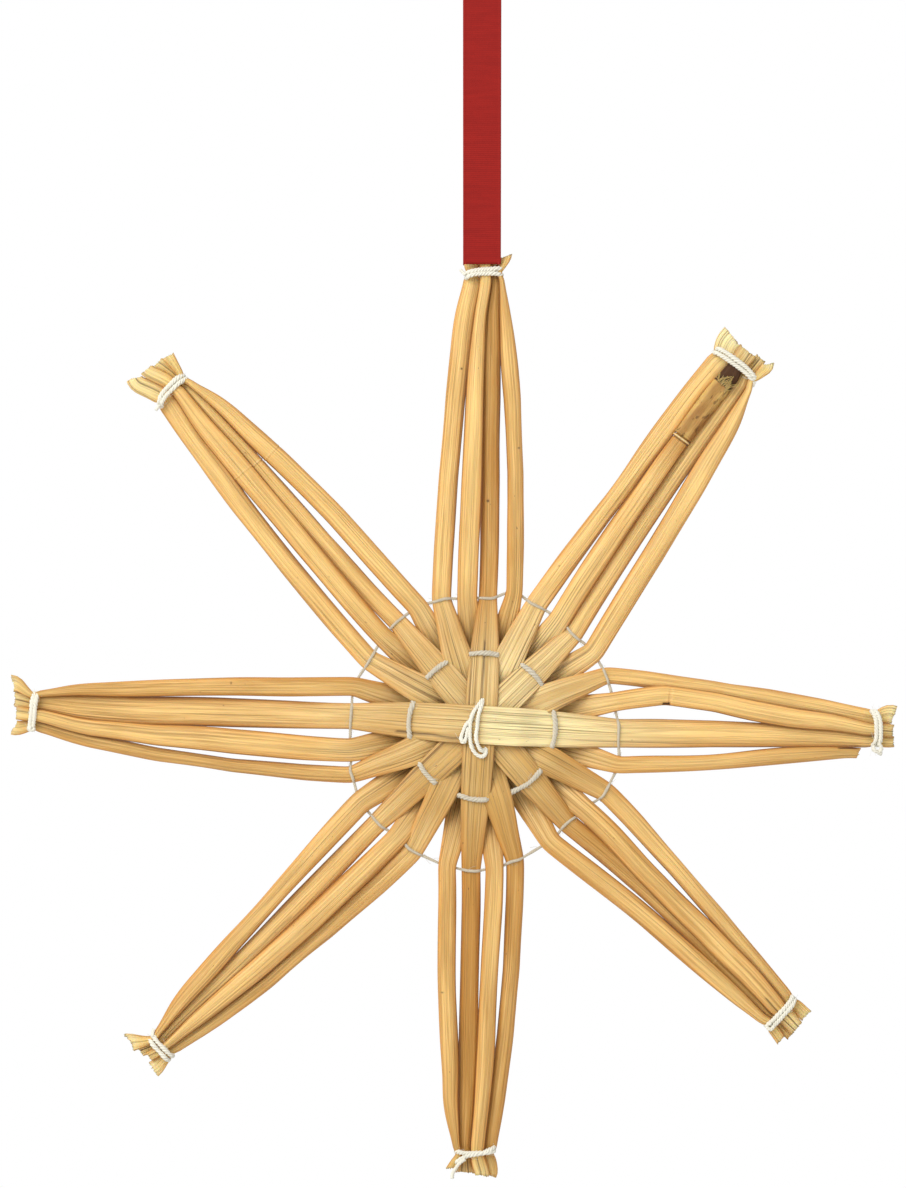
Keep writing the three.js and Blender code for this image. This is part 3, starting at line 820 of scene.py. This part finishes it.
def surface(straw, along, inward):
    """Points of the straw's skin, or of its hollow, for an array of distances along it."""
    middle = straw.line(along)
    way = straw.line(along + SLOPE_STEP) - straw.line(along - SLOPE_STEP)
    way /= np.linalg.norm(way, axis=-1, keepdims=True)
    side = straw.side - (way @ straw.side)[..., None] * way
    side /= np.linalg.norm(side, axis=-1, keepdims=True)
    front = np.cross(side, way)
    x, y, half_wide, half_thick = section(straw, along)
    relief = straw_relief(straw, along, x, y, half_wide) - inward
    half_wide = np.maximum(half_wide + relief, LEAST_HALVES[0])
    half_thick = np.maximum(half_thick + relief, LEAST_HALVES[1])
    return middle + side * (x * half_wide)[..., None] + front * (y * half_thick)[..., None]


def straw_marks(straw, along, inside):
    """What the straw's finish needs to know at each point."""
    x, y, half_wide, half_thick = section(straw, along)
    turn = np.broadcast_to(np.arange(along.shape[1]) / along.shape[1] * 2 * math.pi, along.shape)
    round_it = straw.flat / math.pi
    lengthwise = along + GRAIN_APART * straw.seed
    unbent = np.stack([round_it * np.cos(turn), round_it * np.sin(turn), lengthwise], -1)
    _, scar_colour_and_groove_shade, joint = scars_of(straw, along, x, y, half_wide)
    stations, tones = [], []
    for half in straw.halves:
        tone = TONES[ARMS[half.arm]][straw.place]
        middle_tone = 0 if half.called == PALE_MIDDLE else MIDDLE_TONES[ARMS[half.arm]]
        stations += [half.end * distance for distance in TONES_OVER]
        tones += [middle_tone, middle_tone, tone]
    tones = [tone for _, tone in sorted(zip(stations, tones))]
    tone = np.interp(along, sorted(stations), tones)
    crowded, rot = np.zeros_like(along), np.zeros_like(along)
    for half in straw.halves:
        past = half.past(along)
        here = half.end * along > 0
        clockwise = half.end * x
        # The painted contact shadow lies along the side of a straw that touches the next one
        beside_next = {0: clockwise, PLACES - 1: -clockwise}.get(straw.place, abs(x))
        line = within(np.clip(beside_next, 0, 1), *PAINTED_CONTACT_SHADOW_LINE)
        crowded = crowded + here * line * np.interp(past, PAINTED_CONTACT_SHADOW_AT, PAINTED_CONTACT_SHADOW)
        if half.called == ROTTEN:
            rotten = 0.5 * within(past, ROTTEN_FROM, 1 * mm, 0.3 * mm)
            rot = rot + here * (rotten + 0.5 * within(past, BLACK_FROM, 0.6 * mm, 0.5 * mm))
            tone = tone + ROTTEN_BROWNS * here * np.interp(past, ROTTEN_BROWNS_OVER, [0, 1])
        tone = tone - END_PALES * here * np.interp(past, END_PALES_OVER, [0, 1])
    return {
        "unbent": unbent,
        "pressed": np.interp(half_thick / half_wide, PRESSED_RATIOS, [1, 0]),
        "inside": inside,
        "tone": tone,
        # painted shade: the sides of a round straw, strongest at its edges
        "rim": abs(x) ** 3,
        "crowded": crowded,
        "scar_colour_and_groove_shade": scar_colour_and_groove_shade,
        "joint": joint,
        "rot": rot,
    }


def cut_end(straw, half, columns):
    """How far along the straw each point of a cut end lies: along its slanting cut, and a little ragged."""
    draw = np.random.default_rng(7000 + 10 * straw.seed + half.arm)
    across = half.end * np.cos(np.arange(columns) / columns * 2 * math.pi)
    left, right = half.lengths
    length = (left + right) / 2 + (right - left) / 2 * across
    return half.along(0, half.middles[-1]) + half.end * (length + draw.normal(0, RAGGED, columns))


straw_finish = Finish(
    "natural_straw",
    {
        "IOR": 1.5,
        "Specular IOR Level": 0.4,
        "Subsurface Weight": 0.25,
        "Subsurface Radius": (1, 0.45, 0.12),
        "Subsurface Scale": 0.6 * mm,
    },
)
mark, grain, rise, mixed = straw_finish.mark, straw_finish.grain, straw_finish.rise, straw_finish.mixed
unbent = mark("unbent", "Vector")
pressed, joint, rot = mark("pressed"), mark("joint"), mark("rot")
fibres = grain(unbent, (1, 1, 0.012), 4600, 3, 0.65)
streaks = grain(unbent, (1, 1, 0.03), 1500)
clouds = grain(unbent, (1, 1, 0.25), 240, 3)
specks = grain(unbent, (1, 1, 0.5), 1500)
hairlines = rise(grain(unbent, (1, 1, 0.008), 6500), 0.5, 0.62)
splits = rise(grain(unbent, (1, 1, 0.006), 3600, 1), 0.62, 0.67)

uneven = (0.25 * streaks + 0.35 * clouds + 0.4 * fibres - 0.5) * (2.2 - pressed)
pale = mixed((0.93, 0.62, 0.225), (1, 0.84, 0.44), pressed)
brown = mixed((0.54, 0.265, 0.052), (0.6, 0.34, 0.085), pressed)
mould = mixed((0.4, 0.18, 0.04), (0.74, 0.45, 0.13), rise(clouds, 0.35, 0.6))
mouldy = mixed(mould, (0.12, 0.05, 0.01), rise(specks, 0.58, 0.7) * 0.7)
black = mixed((0.03, 0.01, 0.002), (0.13, 0.05, 0.012), fibres)
colour = mixed(pale, brown, rise(0.12 + 0.75 * mark("tone") + uneven, 0, 1))
for shade, share in [  # each one laid over those before it
    # Painted shade: the sides of each round straw, where it turns away, in a deeper orange
    ((0.74, 0.28, 0.035), mark("rim") * (0.7 - 0.6 * pressed)),
    ((0.34, 0.17, 0.045), hairlines * (0.28 + 0.12 * pressed)),
    ((0.16, 0.07, 0.02), splits * (0.25 + 0.35 * pressed)),
    ((0.2, 0.09, 0.03), rise(specks, 0.74, 0.79) * 0.7),
    # Painted shadow: a dark line where one straw touches the next
    ((0.2, 0.06, 0.008), mark("crowded") * 0.9),
    ((0.92, 0.74, 0.4), rise(joint, 0, 0.8) * 0.8),
    ((0.16, 0.07, 0.015), rise(0 - joint, 0.05, 0.8) * 0.8),
    (mouldy, rise(rot, 0.1, 0.4)),
    (black, rise(rot, 0.6, 0.95)),
    # Dark along the scars: partly their own colour, partly painted shade in their grooves
    ((0.05, 0.02, 0.008), mark("scar_colour_and_groove_shade")),
    # Painted shade: the inner wall of the hollow at the open ends is painted darker brown
    ((0.4, 0.22, 0.08), mark("inside") * 0.7),
]:
    colour = mixed(colour, shade, share)
straw_finish.wear(
    Base_Color=colour,
    Roughness=0.34 + 0.24 * fibres + 0.1 * pressed + 0.3 * rot,
    Normal=straw_finish.bump(fibres + 0.6 * streaks - 0.6 * hairlines - splits, 0.09 * mm, 0.8),
)

SHEATH_RINGS = 60
SHEATH_STANDS_OFF = 0.12 * mm
SHEATH_TORN = 0.9 * mm  # how unevenly its end is torn
SHEATH_INSIDE = 0.93  # of its outside's size
BITTEN = 0.22  # how deep the bites are that rot has taken out of its edge
FRAYED = 34  # loose fibres
FIBRE_GRID = (6, 5)  # steps along a fibre and sides round it
FIBRES_COLOURED_AS = -20 * mm  # past the tie, where the straw is still sound
FIBRE_TONE = -0.5
FIBRE_SPREAD = 1.3 * mm  # to each side of the straw's middle line
FIBRE_FORWARD = 0.85 * mm  # in front of it


def rotten_remains(straw, half):
    """What is left of a rotted sheath: a torn skin round the stalk and a tuft of frayed fibres."""
    draw = np.random.default_rng(71)
    low, high = half.along(ROTTEN_FROM), half.along(BLACK_FROM)
    rings = np.linspace(low, high, SHEATH_RINGS)
    torn = eased(draw.normal(0, SHEATH_TORN, 4 * STRAW_SIDES), 1, 1.5)[:STRAW_SIDES]
    along = rings[:, None] + np.linspace(0, 1, SHEATH_RINGS)[:, None] ** 3 * half.end * torn
    bites = eased(draw.normal(0, 1, 3 * SHEATH_RINGS), 1, 1.4)[SHEATH_RINGS : 2 * SHEATH_RINGS]
    skin = surface(straw, along, -SHEATH_STANDS_OFF)
    middle = skin.mean(1, keepdims=True)
    outward = half.end * section(straw, along)[0]
    bitten = 1 - BITTEN * np.clip(outward, 0, 1) * np.clip(bites, 0, 1)[:, None]
    outside = middle + (skin - middle) * bitten[..., None]
    inside = middle + SHEATH_INSIDE * (skin - middle) * bitten[..., None]
    both = np.concatenate([along, along[::-1]])
    none = np.zeros(FIBRE_GRID)
    fibre_marks = straw_marks(straw, np.full(FIBRE_GRID, half.along(FIBRES_COLOURED_AS)), none)
    fibre_marks.update(tone=none + FIBRE_TONE, crowded=none, rim=none)
    tubes = [np.concatenate([outside, inside[::-1]])]
    marks = [straw_marks(straw, both, np.zeros_like(both))] + [fibre_marks] * FRAYED
    steps, sides = FIBRE_GRID
    share = np.linspace(0, 1, steps)[:, None]
    for _ in range(FRAYED):
        across = draw.uniform(-0.9, 0.9)
        root = straw.line(np.array(high + half.end * draw.uniform(-1, 0.3) * mm))
        root = root + half.end * across * straw.side * FIBRE_SPREAD - np.array([0, FIBRE_FORWARD, 0])
        bend = half.end * straw.side * draw.normal(0, 0.35)
        bend = (bend + np.array([0, -draw.uniform(0, 0.5), 0])) * mm
        length = draw.uniform(0.5, 2.3) * mm
        fibre = root + share * half.out * length + share**2 * bend * 2 + share * draw.normal(0, 0.2, 3) * mm
        _, side, front = line_frames(fibre, np.array([0, 1.0, 0]))
        tubes.append(tube(fibre, side, front, np.linspace(0.1, 0.05, steps) * mm, sides))
    return tubes, marks


def make_straw(straw):
    low, high = straw.along[0], straw.along[-1]
    rings = np.union1d(np.linspace(low, high, int((high - low) / RING_STEP)), fine_places(straw))
    skin = np.repeat(rings[:, None], STRAW_SIDES, 1)
    for half in straw.halves:
        tip = high if half.end > 0 else low
        near = np.clip(1 - abs(tip - rings) / CUT_ZONE, 0, 1)[:, None]
        skin = skin + near * (cut_end(straw, half, STRAW_SIDES) - tip)
    inside_low = skin[rings < low + HOLLOW][::-1]
    inside_high = skin[rings > high - HOLLOW][::-1]
    parts = [surface(straw, inside_low, WALL), surface(straw, skin, 0), surface(straw, inside_high, WALL)]
    along = np.concatenate([inside_low, skin, inside_high])
    # marks the hollow's inner wall, which the finish paints darker as shade
    inside = np.concatenate([np.ones_like(inside_low), np.zeros_like(skin), np.ones_like(inside_high)])
    tubes, marks = [np.concatenate(parts)], [straw_marks(straw, along, inside)]
    for half in straw.halves:
        if half.called == ROTTEN:
            more_tubes, more_marks = rotten_remains(straw, half)
            tubes, marks = tubes + more_tubes, marks + more_marks
    by_name = {name: [each[name] for each in marks] for name in marks[0]}
    piece = make_piece(straw.node + "_stalk", tubes, straw_finish, by_name)
    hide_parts(straw.node)


straws = [Straw(arm, place) for arm in range(OPPOSITE) for place in range(PLACES)]
for straw in straws:
    make_straw(straw)


# ---- The woven threads ----
# Three lengths of fine three-ply cotton hold the straws in order. The inner two run round the front eight
# and the back eight straws, and the outer one weaves the two layers together in the open.

THREAD_STEP = 0.14 * mm
PLY_SIDES = 6
OUTER_THREAD = 0.25 * mm  # radii
INNER_THREAD = 0.43 * mm
PULLED_TIGHT = 0.25 * mm  # how sharply a thread bends over the edge of a straw
TWIST = 4.2  # the length of one turn, in radii of the thread
PLY_PLACE = 0.48  # of the thread's radius
PLY_SIZE = 0.56
UNEVEN_THREAD = 0.08
FUZZ = 0.022 * mm  # the radius of a loose fibre
FUZZ_EVERY = 1.1 * mm
FUZZ_LENGTHS = (0.4, 1.2)  # millimetres
FUZZ_SHAPE = (5, 3)  # steps along it and sides round it
ACROSS_STEPS = 9  # points of a thread over each straw
THREAD_LIFT = 0.85  # of its radius, off the straw
CLOSING_POINTS = 6  # of the first straw, passed again to close the ring

cotton = Finish("cotton_thread", {"Roughness": 0.9, "Sheen Weight": 0.3, "Sheen Roughness": 0.6})
lint = cotton.grain(cotton.mark("at_rest", "Vector"), (1, 1, 1), 2600, 3, 0.6)
age = cotton.mark("age")
clean = cotton.mixed((0.78, 0.74, 0.6), (0.92, 0.89, 0.78), lint)
aged = cotton.mixed((0.44, 0.38, 0.26), (0.7, 0.62, 0.48), lint)
cotton.wear(
    Base_Color=cotton.mixed(clean, aged, age),
    Normal=cotton.bump(lint, 0.05 * mm, 0.5),
)


def respaced(points, step):
    """A line through the same points with equal steps along it."""
    points = np.asarray(points, float)
    travelled = distances(points)
    even = np.linspace(0, travelled[-1], max(int(travelled[-1] / step), 4) + 1)
    return np.stack([np.interp(even, travelled, points[:, axis]) for axis in range(3)], 1)


def smoothed(points, step, over):
    return np.stack([eased(points[:, axis], step, over) for axis in range(3)], 1)


def twisted(line, across, radius, seed, plies=3):
    """A thread of plies twisted round each other, and the loose fibres that stand out of it."""
    draw = np.random.default_rng(seed)
    line = respaced(line, THREAD_STEP)
    line = smoothed(line, THREAD_STEP, PULLED_TIGHT)
    way, side, front = line_frames(line, across(line))
    travelled = np.arange(len(line)) * THREAD_STEP
    twist = 2 * math.pi * (travelled / (TWIST * radius) + 0.1 * Wander(seed, 6 * mm)(travelled))
    thickness = radius * (1 + UNEVEN_THREAD * Wander(seed + 1, 4 * mm)(travelled))
    tubes = []
    for ply in range(plies):
        angle = (twist + 2 * math.pi * ply / plies)[:, None]
        middle = line + PLY_PLACE * thickness[:, None] * (np.cos(angle) * side + np.sin(angle) * front)
        tubes.append(tube(middle, side, front, PLY_SIZE * thickness, PLY_SIDES))
    steps, sides = FUZZ_SHAPE
    share = np.linspace(0, 1, steps)[:, None]
    for _ in range(int(travelled[-1] / FUZZ_EVERY)):
        at = draw.integers(4, len(line) - 4)
        angle = draw.uniform(0, 2 * math.pi)
        out = np.cos(angle) * side[at] + np.sin(angle) * front[at]
        lean = draw.choice([-1, 1]) * way[at]
        length = draw.uniform(*FUZZ_LENGTHS) * mm
        fibre = line[at] + out * (0.9 * radius + 0.6 * length * share) + lean * length * share**2
        tubes.append(tube(fibre, *line_frames(fibre, draw.normal(size=3))[1:], FUZZ, sides))
    return tubes


def make_thread(name, tubes, age, node):
    marks = {"at_rest": tubes, "age": [np.full(rings.shape[:2], age) for rings in tubes]}
    piece = make_piece(name, tubes, cotton, marks)
    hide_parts(node)


def radial(line):
    return (line - STAR_CENTRE) * (1, 0, 1)


def woven_route(reach, crossings, radius):
    """Once round the star: in front of the straws marked -1 and behind those marked +1."""
    spans = []
    for straw, end, layer in crossings:
        along = straw.crossing(reach, end)
        middle = straw.line(np.array(along)) - STAR_CENTRE
        half_wide = np.interp(along, straw.along, straw.wide) / 2
        half_thick = np.interp(along, straw.along, straw.thick) / 2
        far = math.hypot(middle[0], middle[2])
        spans.append((math.atan2(middle[0], middle[2]), half_wide / far, half_thick, middle[1], layer))
    spans.sort()
    points = []
    for place, (bearing, half_angle, half_thick, depth, layer) in enumerate(spans):
        before, after = spans[place - 1], spans[(place + 1) % len(spans)]
        room_before = (bearing - before[0]) % (2 * math.pi) - before[1]
        room_after = (after[0] - bearing) % (2 * math.pi) - after[1]
        first = -min(1, (half_angle + room_before) / 2 / half_angle)
        last = min(1, (half_angle + room_after) / 2 / half_angle)
        for across in np.linspace(first, last, ACROSS_STEPS):
            at = bearing + across * half_angle
            bulge = half_thick * (1 - abs(across) ** 3) ** (1 / 3) + THREAD_LIFT * radius
            points.append(polar(at) * reach(at) + np.array([0, depth + layer * bulge, 0]))
    return STAR_CENTRE + np.array(points + points[:CLOSING_POINTS])


def halves_at(layers):
    """The half straws at these places of every arm, each with the side of it that a thread passes."""
    ends = [(straw, end) for straw in straws for end in (1, -1)]
    return [(straw, end, layers[straw.place]) for straw, end in ends if straw.place in layers]


back_reach = thread_reach("thread_inner_back")
outer_route = woven_route(outer_reach, halves_at({0: -1, 2: -1, 1: 1, 3: 1}), OUTER_THREAD)
front_route = woven_route(inner_reach, halves_at({2: -1, 0: 1}), INNER_THREAD)
back_route = woven_route(back_reach, halves_at({3: -1, 1: 1}), INNER_THREAD)
for name, route, radius, seed, age, node in [
    ("outer_weaving_thread", outer_route, OUTER_THREAD, 501, 1, "thread_outer"),
    ("front_weaving_thread", front_route, INNER_THREAD, 511, 0.8, "thread_inner_front"),
    ("back_weaving_thread", back_route, INNER_THREAD, 521, 0.8, "thread_inner_back"),
]:
    make_thread(name, twisted(route, radial, radius, seed), age, node)


# ---- The centre thread ----
# A white cotton thread that binds the middle. It is drawn twice over the top straw, and a small slack loop
# of it lies beside the turns.

CENTRE_THREAD = 0.36 * mm
# Across and up from the star's centre, in millimetres, and how far under the face of the top straw
CENTRE_STRANDS = [
    [
        (0.2, 4.6, 0.9), (-0.2, 4.1, 0.3), (-0.8, 3.4, -0.1), (-1.7, 1.8, -0.3), (-2, 0, -0.35),
        (-2, -2, -0.35), (-1.7, -3.5, -0.2), (-0.7, -4.8, 0), (0.1, -5, 0), (0.6, -4.5, 0.2),
        (0.6, -3.7, 0.6), (0.5, -3.3, 1.1),
    ],
    [
        (0.2, 4.4, 0.9), (-0.1, 3.6, 0.1), (-0.6, 1.9, -0.35), (-0.8, 0, -0.4), (-1, -1.8, -0.4),
        (-0.7, -3.1, -0.3), (-0.1, -4, 0.1), (0.4, -4, 0.5), (0.5, -3.5, 1),
    ],
    [
        (-1.9, 1, -0.2), (-2.6, 0.4, -0.3), (-3.2, -0.9, -0.35), (-3.5, -2, -0.35), (-3.1, -2.7, -0.35),
        (-2.7, -2, -0.4), (-2.5, -0.9, -0.4), (-2.2, -0.1, -0.3),
    ],
]

top_straw = next(straw for straw in straws if straw.node == "straw_right_3")
face = np.interp(0, top_straw.along, top_straw.depth) - np.interp(0, top_straw.along, top_straw.thick) / 2


def curved(points, step):
    """A smooth line through a few given points."""
    points = np.asarray(points, float)
    places = distances(points)
    even = np.arange(0, places[-1], step)
    return np.stack([smooth_through(even, places, points[:, axis]) for axis in range(3)], 1)


def into_depth(line):
    """The direction that a short thread's plies are laid out from, at every point of it."""
    return np.array([0, 1.0, 0.02])


strands = []
for number, strand in enumerate(CENTRE_STRANDS):
    across, up, under = np.array(strand).T * mm
    route = STAR_CENTRE + np.stack([across, face + under, up], 1)
    strands += twisted(curved(route, THREAD_STEP), into_depth, CENTRE_THREAD, 540 + number)
make_thread("centre_thread", strands, 0, "thread_centre")


# ---- The tip ties ----
# Each tip is bound with two turns of a soft white cotton cord, drawn tight round the straws in it, knotted
# and cut short. The turns lie unevenly, and no two knots have the same ends.

TIE_THREAD = 0.4 * mm
BUNDLE_THICKNESS = 2.5 * mm
SQUARENESS = 0.55  # of the bundle's section: 1 would be an oval
TURN_STEPS = 40  # points along each half of a turn
OVERHANG = 0.1  # of the cord's radius, past the bundle at its sides
STANDS_OFF = 0.8  # the same, in front and behind
END_SIZE = 0.8  # a loose end's radius, as a share of the cord's
TIE_AGE = 0.05
# Heights past the middle of the tie, in millimetres, at the left, middle and right of each turn's front
TIE_TURNS = {
    "top": [(-0.85, -0.15, -0.35), (-0.15, 0.5, 0.75)],
    "upper_right": [(0.15, 0.35, -0.15), (0.9, 1.15, 0.35)],
    "right": [(-0.7, 0.05, -0.4), (-0.15, 0.75, 0.4)],
    "lower_right": [(-0.25, 0.05, -0.1), (0.35, 0.75, 0.75)],
    "bottom": [(-0.6, -0.25, -0.45), (-1.15, -0.05, 1.5)],
    "lower_left": [(0.15, 0.2, 0), (1.15, 1.1, 0.85)],
    "left": [(0, -0.25, -0.6), (0.6, 0.3, -0.05)],
    "upper_left": [(-0.85, -0.1, -0.35), (-0.4, 0.7, 0.35)],
}
# Loose ends and loops, across, past the middle and in front of the star's middle plane, in millimetres
TIE_ENDS = {
    "top": [[(-3, -0.4, 1.2), (-3.5, 0.1, 0.8), (-3.9, 0.5, 0.5)]],
    "upper_right": [[(4.3, 0, 0.9), (4.6, -0.6, 0.7), (4.4, -1.2, 0.4)]],
    "right": [
        [
            (2.4, 0.4, 1.9), (3.1, 0.9, 1.9), (3.7, 0.8, 1.6),
            (3.8, 0.1, 1.4), (3.4, -0.6, 1.4), (2.8, -0.3, 1.7),
        ],
        [(2.9, -0.5, 1.6), (3.5, -0.3, 1.9), (3.9, 0.3, 1.6), (4.2, 0.9, 1.2)],
    ],
    "lower_right": [[(2.3, 0.7, 1.8), (3.1, 0.9, 1.9), (3.4, 0.3, 1.7), (2.9, -0.2, 1.8), (2.4, 0.3, 2)]],
    "bottom": [[(1.7, 0.75, 1.8), (2.5, 1.3, 1.7), (3.3, 2.4, 1.4), (3.8, 3.4, 1.1), (3.8, 4.2, 1)]],
    "lower_left": [[(2.2, 0.2, 1.5), (2.7, -0.3, 1.2), (3, -0.9, 0.9)]],
    "left": [[(-2.3, 0.2, 1.7), (-2.9, 0.5, 1.6), (-3.1, 0, 1.5), (-2.6, -0.3, 1.7)]],
    "upper_left": [[(-2.8, -0.5, 1.5), (-3.4, -0.7, 1.3), (-3.9, -0.7, 1)]],
}


def tie_route(arm):
    """The coil of a tie: across its front from left to right, and back behind the straws, in each turn."""
    left_side, right_side = tied_edges(arm)
    middle = (left_side + right_side) / 2
    half_wide = (right_side - left_side) / 2 * (1 - TIED_IN)
    turns = np.array(TIE_TURNS[ARMS[arm]]) * mm
    local = []
    for turn, (left, mid, right) in enumerate(turns):
        angle = np.linspace(math.pi, 0, TURN_STEPS, endpoint=False)
        across = -np.cos(angle)
        height = mid + (right - left) / 2 * -across + ((left + right) / 2 - mid) * across**2
        local.append(np.stack([np.cos(angle), -np.sin(angle), height], 1))
        next_left = turns[turn + 1][0] if turn + 1 < len(turns) else left
        behind = np.linspace(0, -math.pi, TURN_STEPS, endpoint=False)
        rise = right + (next_left - right) * -behind / math.pi
        local.append(np.stack([np.cos(behind), -np.sin(behind), rise], 1))
    local = np.concatenate(local)
    x, y, height = local.T
    across = middle + (half_wide + OVERHANG * TIE_THREAD) * np.sign(x) * abs(x) ** SQUARENESS
    depth = (BUNDLE_THICKNESS / 2 + STANDS_OFF * TIE_THREAD) * np.sign(y) * abs(y) ** SQUARENESS
    return across, depth, height


def place_at_tip(arm, across, depth, past):
    middle, out, clockwise = tie_place(arm)
    plan = middle + np.multiply.outer(across, clockwise) + np.multiply.outer(past, out)
    return STAR_CENTRE + plan + np.multiply.outer(depth, np.array([0, 1.0, 0]))


for arm, name in enumerate(ARMS):
    out = tie_place(arm)[1]
    coil = place_at_tip(arm, *tie_route(arm))
    tubes = twisted(coil, lambda line: out, TIE_THREAD, 600 + 20 * arm)
    for number, end in enumerate(TIE_ENDS[name]):
        across, past, forward = np.array(end).T * mm
        route = curved(place_at_tip(arm, across, -forward, past), THREAD_STEP)
        tubes += twisted(route, into_depth, END_SIZE * TIE_THREAD, 610 + 20 * arm + number)
    make_thread(f"tie_{name}_cord", tubes, TIE_AGE, "tie_" + name)


# ---- The floor, the light and the last lines ----
# A pale floor well below the hanging star, white surroundings, a large soft lamp up on the left and a much
# weaker one on the right.

FLOOR_DROP = 250 * mm
FLOOR_RADIUS = 1.3
ROOM_LIGHT = 0.58

floor_place = (0, 0, cad_low.z - FLOOR_DROP)
bpy.ops.mesh.primitive_circle_add(vertices=96, radius=FLOOR_RADIUS, fill_type="NGON", location=floor_place)
floor = bpy.context.object
floor.name = "floor"
floor_finish = Finish("pale_floor", {"Base Color": (0.8, 0.8, 0.79), "Roughness": 0.8})
floor.data.materials.append(floor_finish.material)

world = bpy.data.worlds.new("white_room")
world.use_nodes = True
nodes, links = world.node_tree.nodes, world.node_tree.links
seen = nodes.new("ShaderNodeBackground")
seen.inputs["Color"].default_value = (1, 1, 1, 1)
shine = nodes["Background"]
shine.inputs["Color"].default_value = (0.97, 0.98, 1, 1)
shine.inputs["Strength"].default_value = ROOM_LIGHT
choice = nodes.new("ShaderNodeMixShader")
links.new(nodes.new("ShaderNodeLightPath").outputs["Is Camera Ray"], choice.inputs[0])
links.new(shine.outputs[0], choice.inputs[1])
links.new(seen.outputs[0], choice.inputs[2])
links.new(choice.outputs[0], nodes["World Output"].inputs["Surface"])
bpy.context.scene.world = world


def add_lamp(name, place, size, power):
    data = bpy.data.lights.new(name, "AREA")
    data.size = size
    data.energy = power
    lamp = bpy.data.objects.new(name, data)
    lamp.location = place
    towards = Vector(STAR_CENTRE) - lamp.location
    lamp.rotation_euler = towards.to_track_quat("-Z", "Y").to_euler()
    bpy.context.scene.collection.objects.link(lamp)


add_lamp("key", place=(-0.5, -0.75, 0.38), size=0.7, power=8.5)
add_lamp("fill", place=(0.8, -0.8, -0.2), size=0.8, power=1.5)

bpy.context.scene.view_settings.view_transform = "Standard"
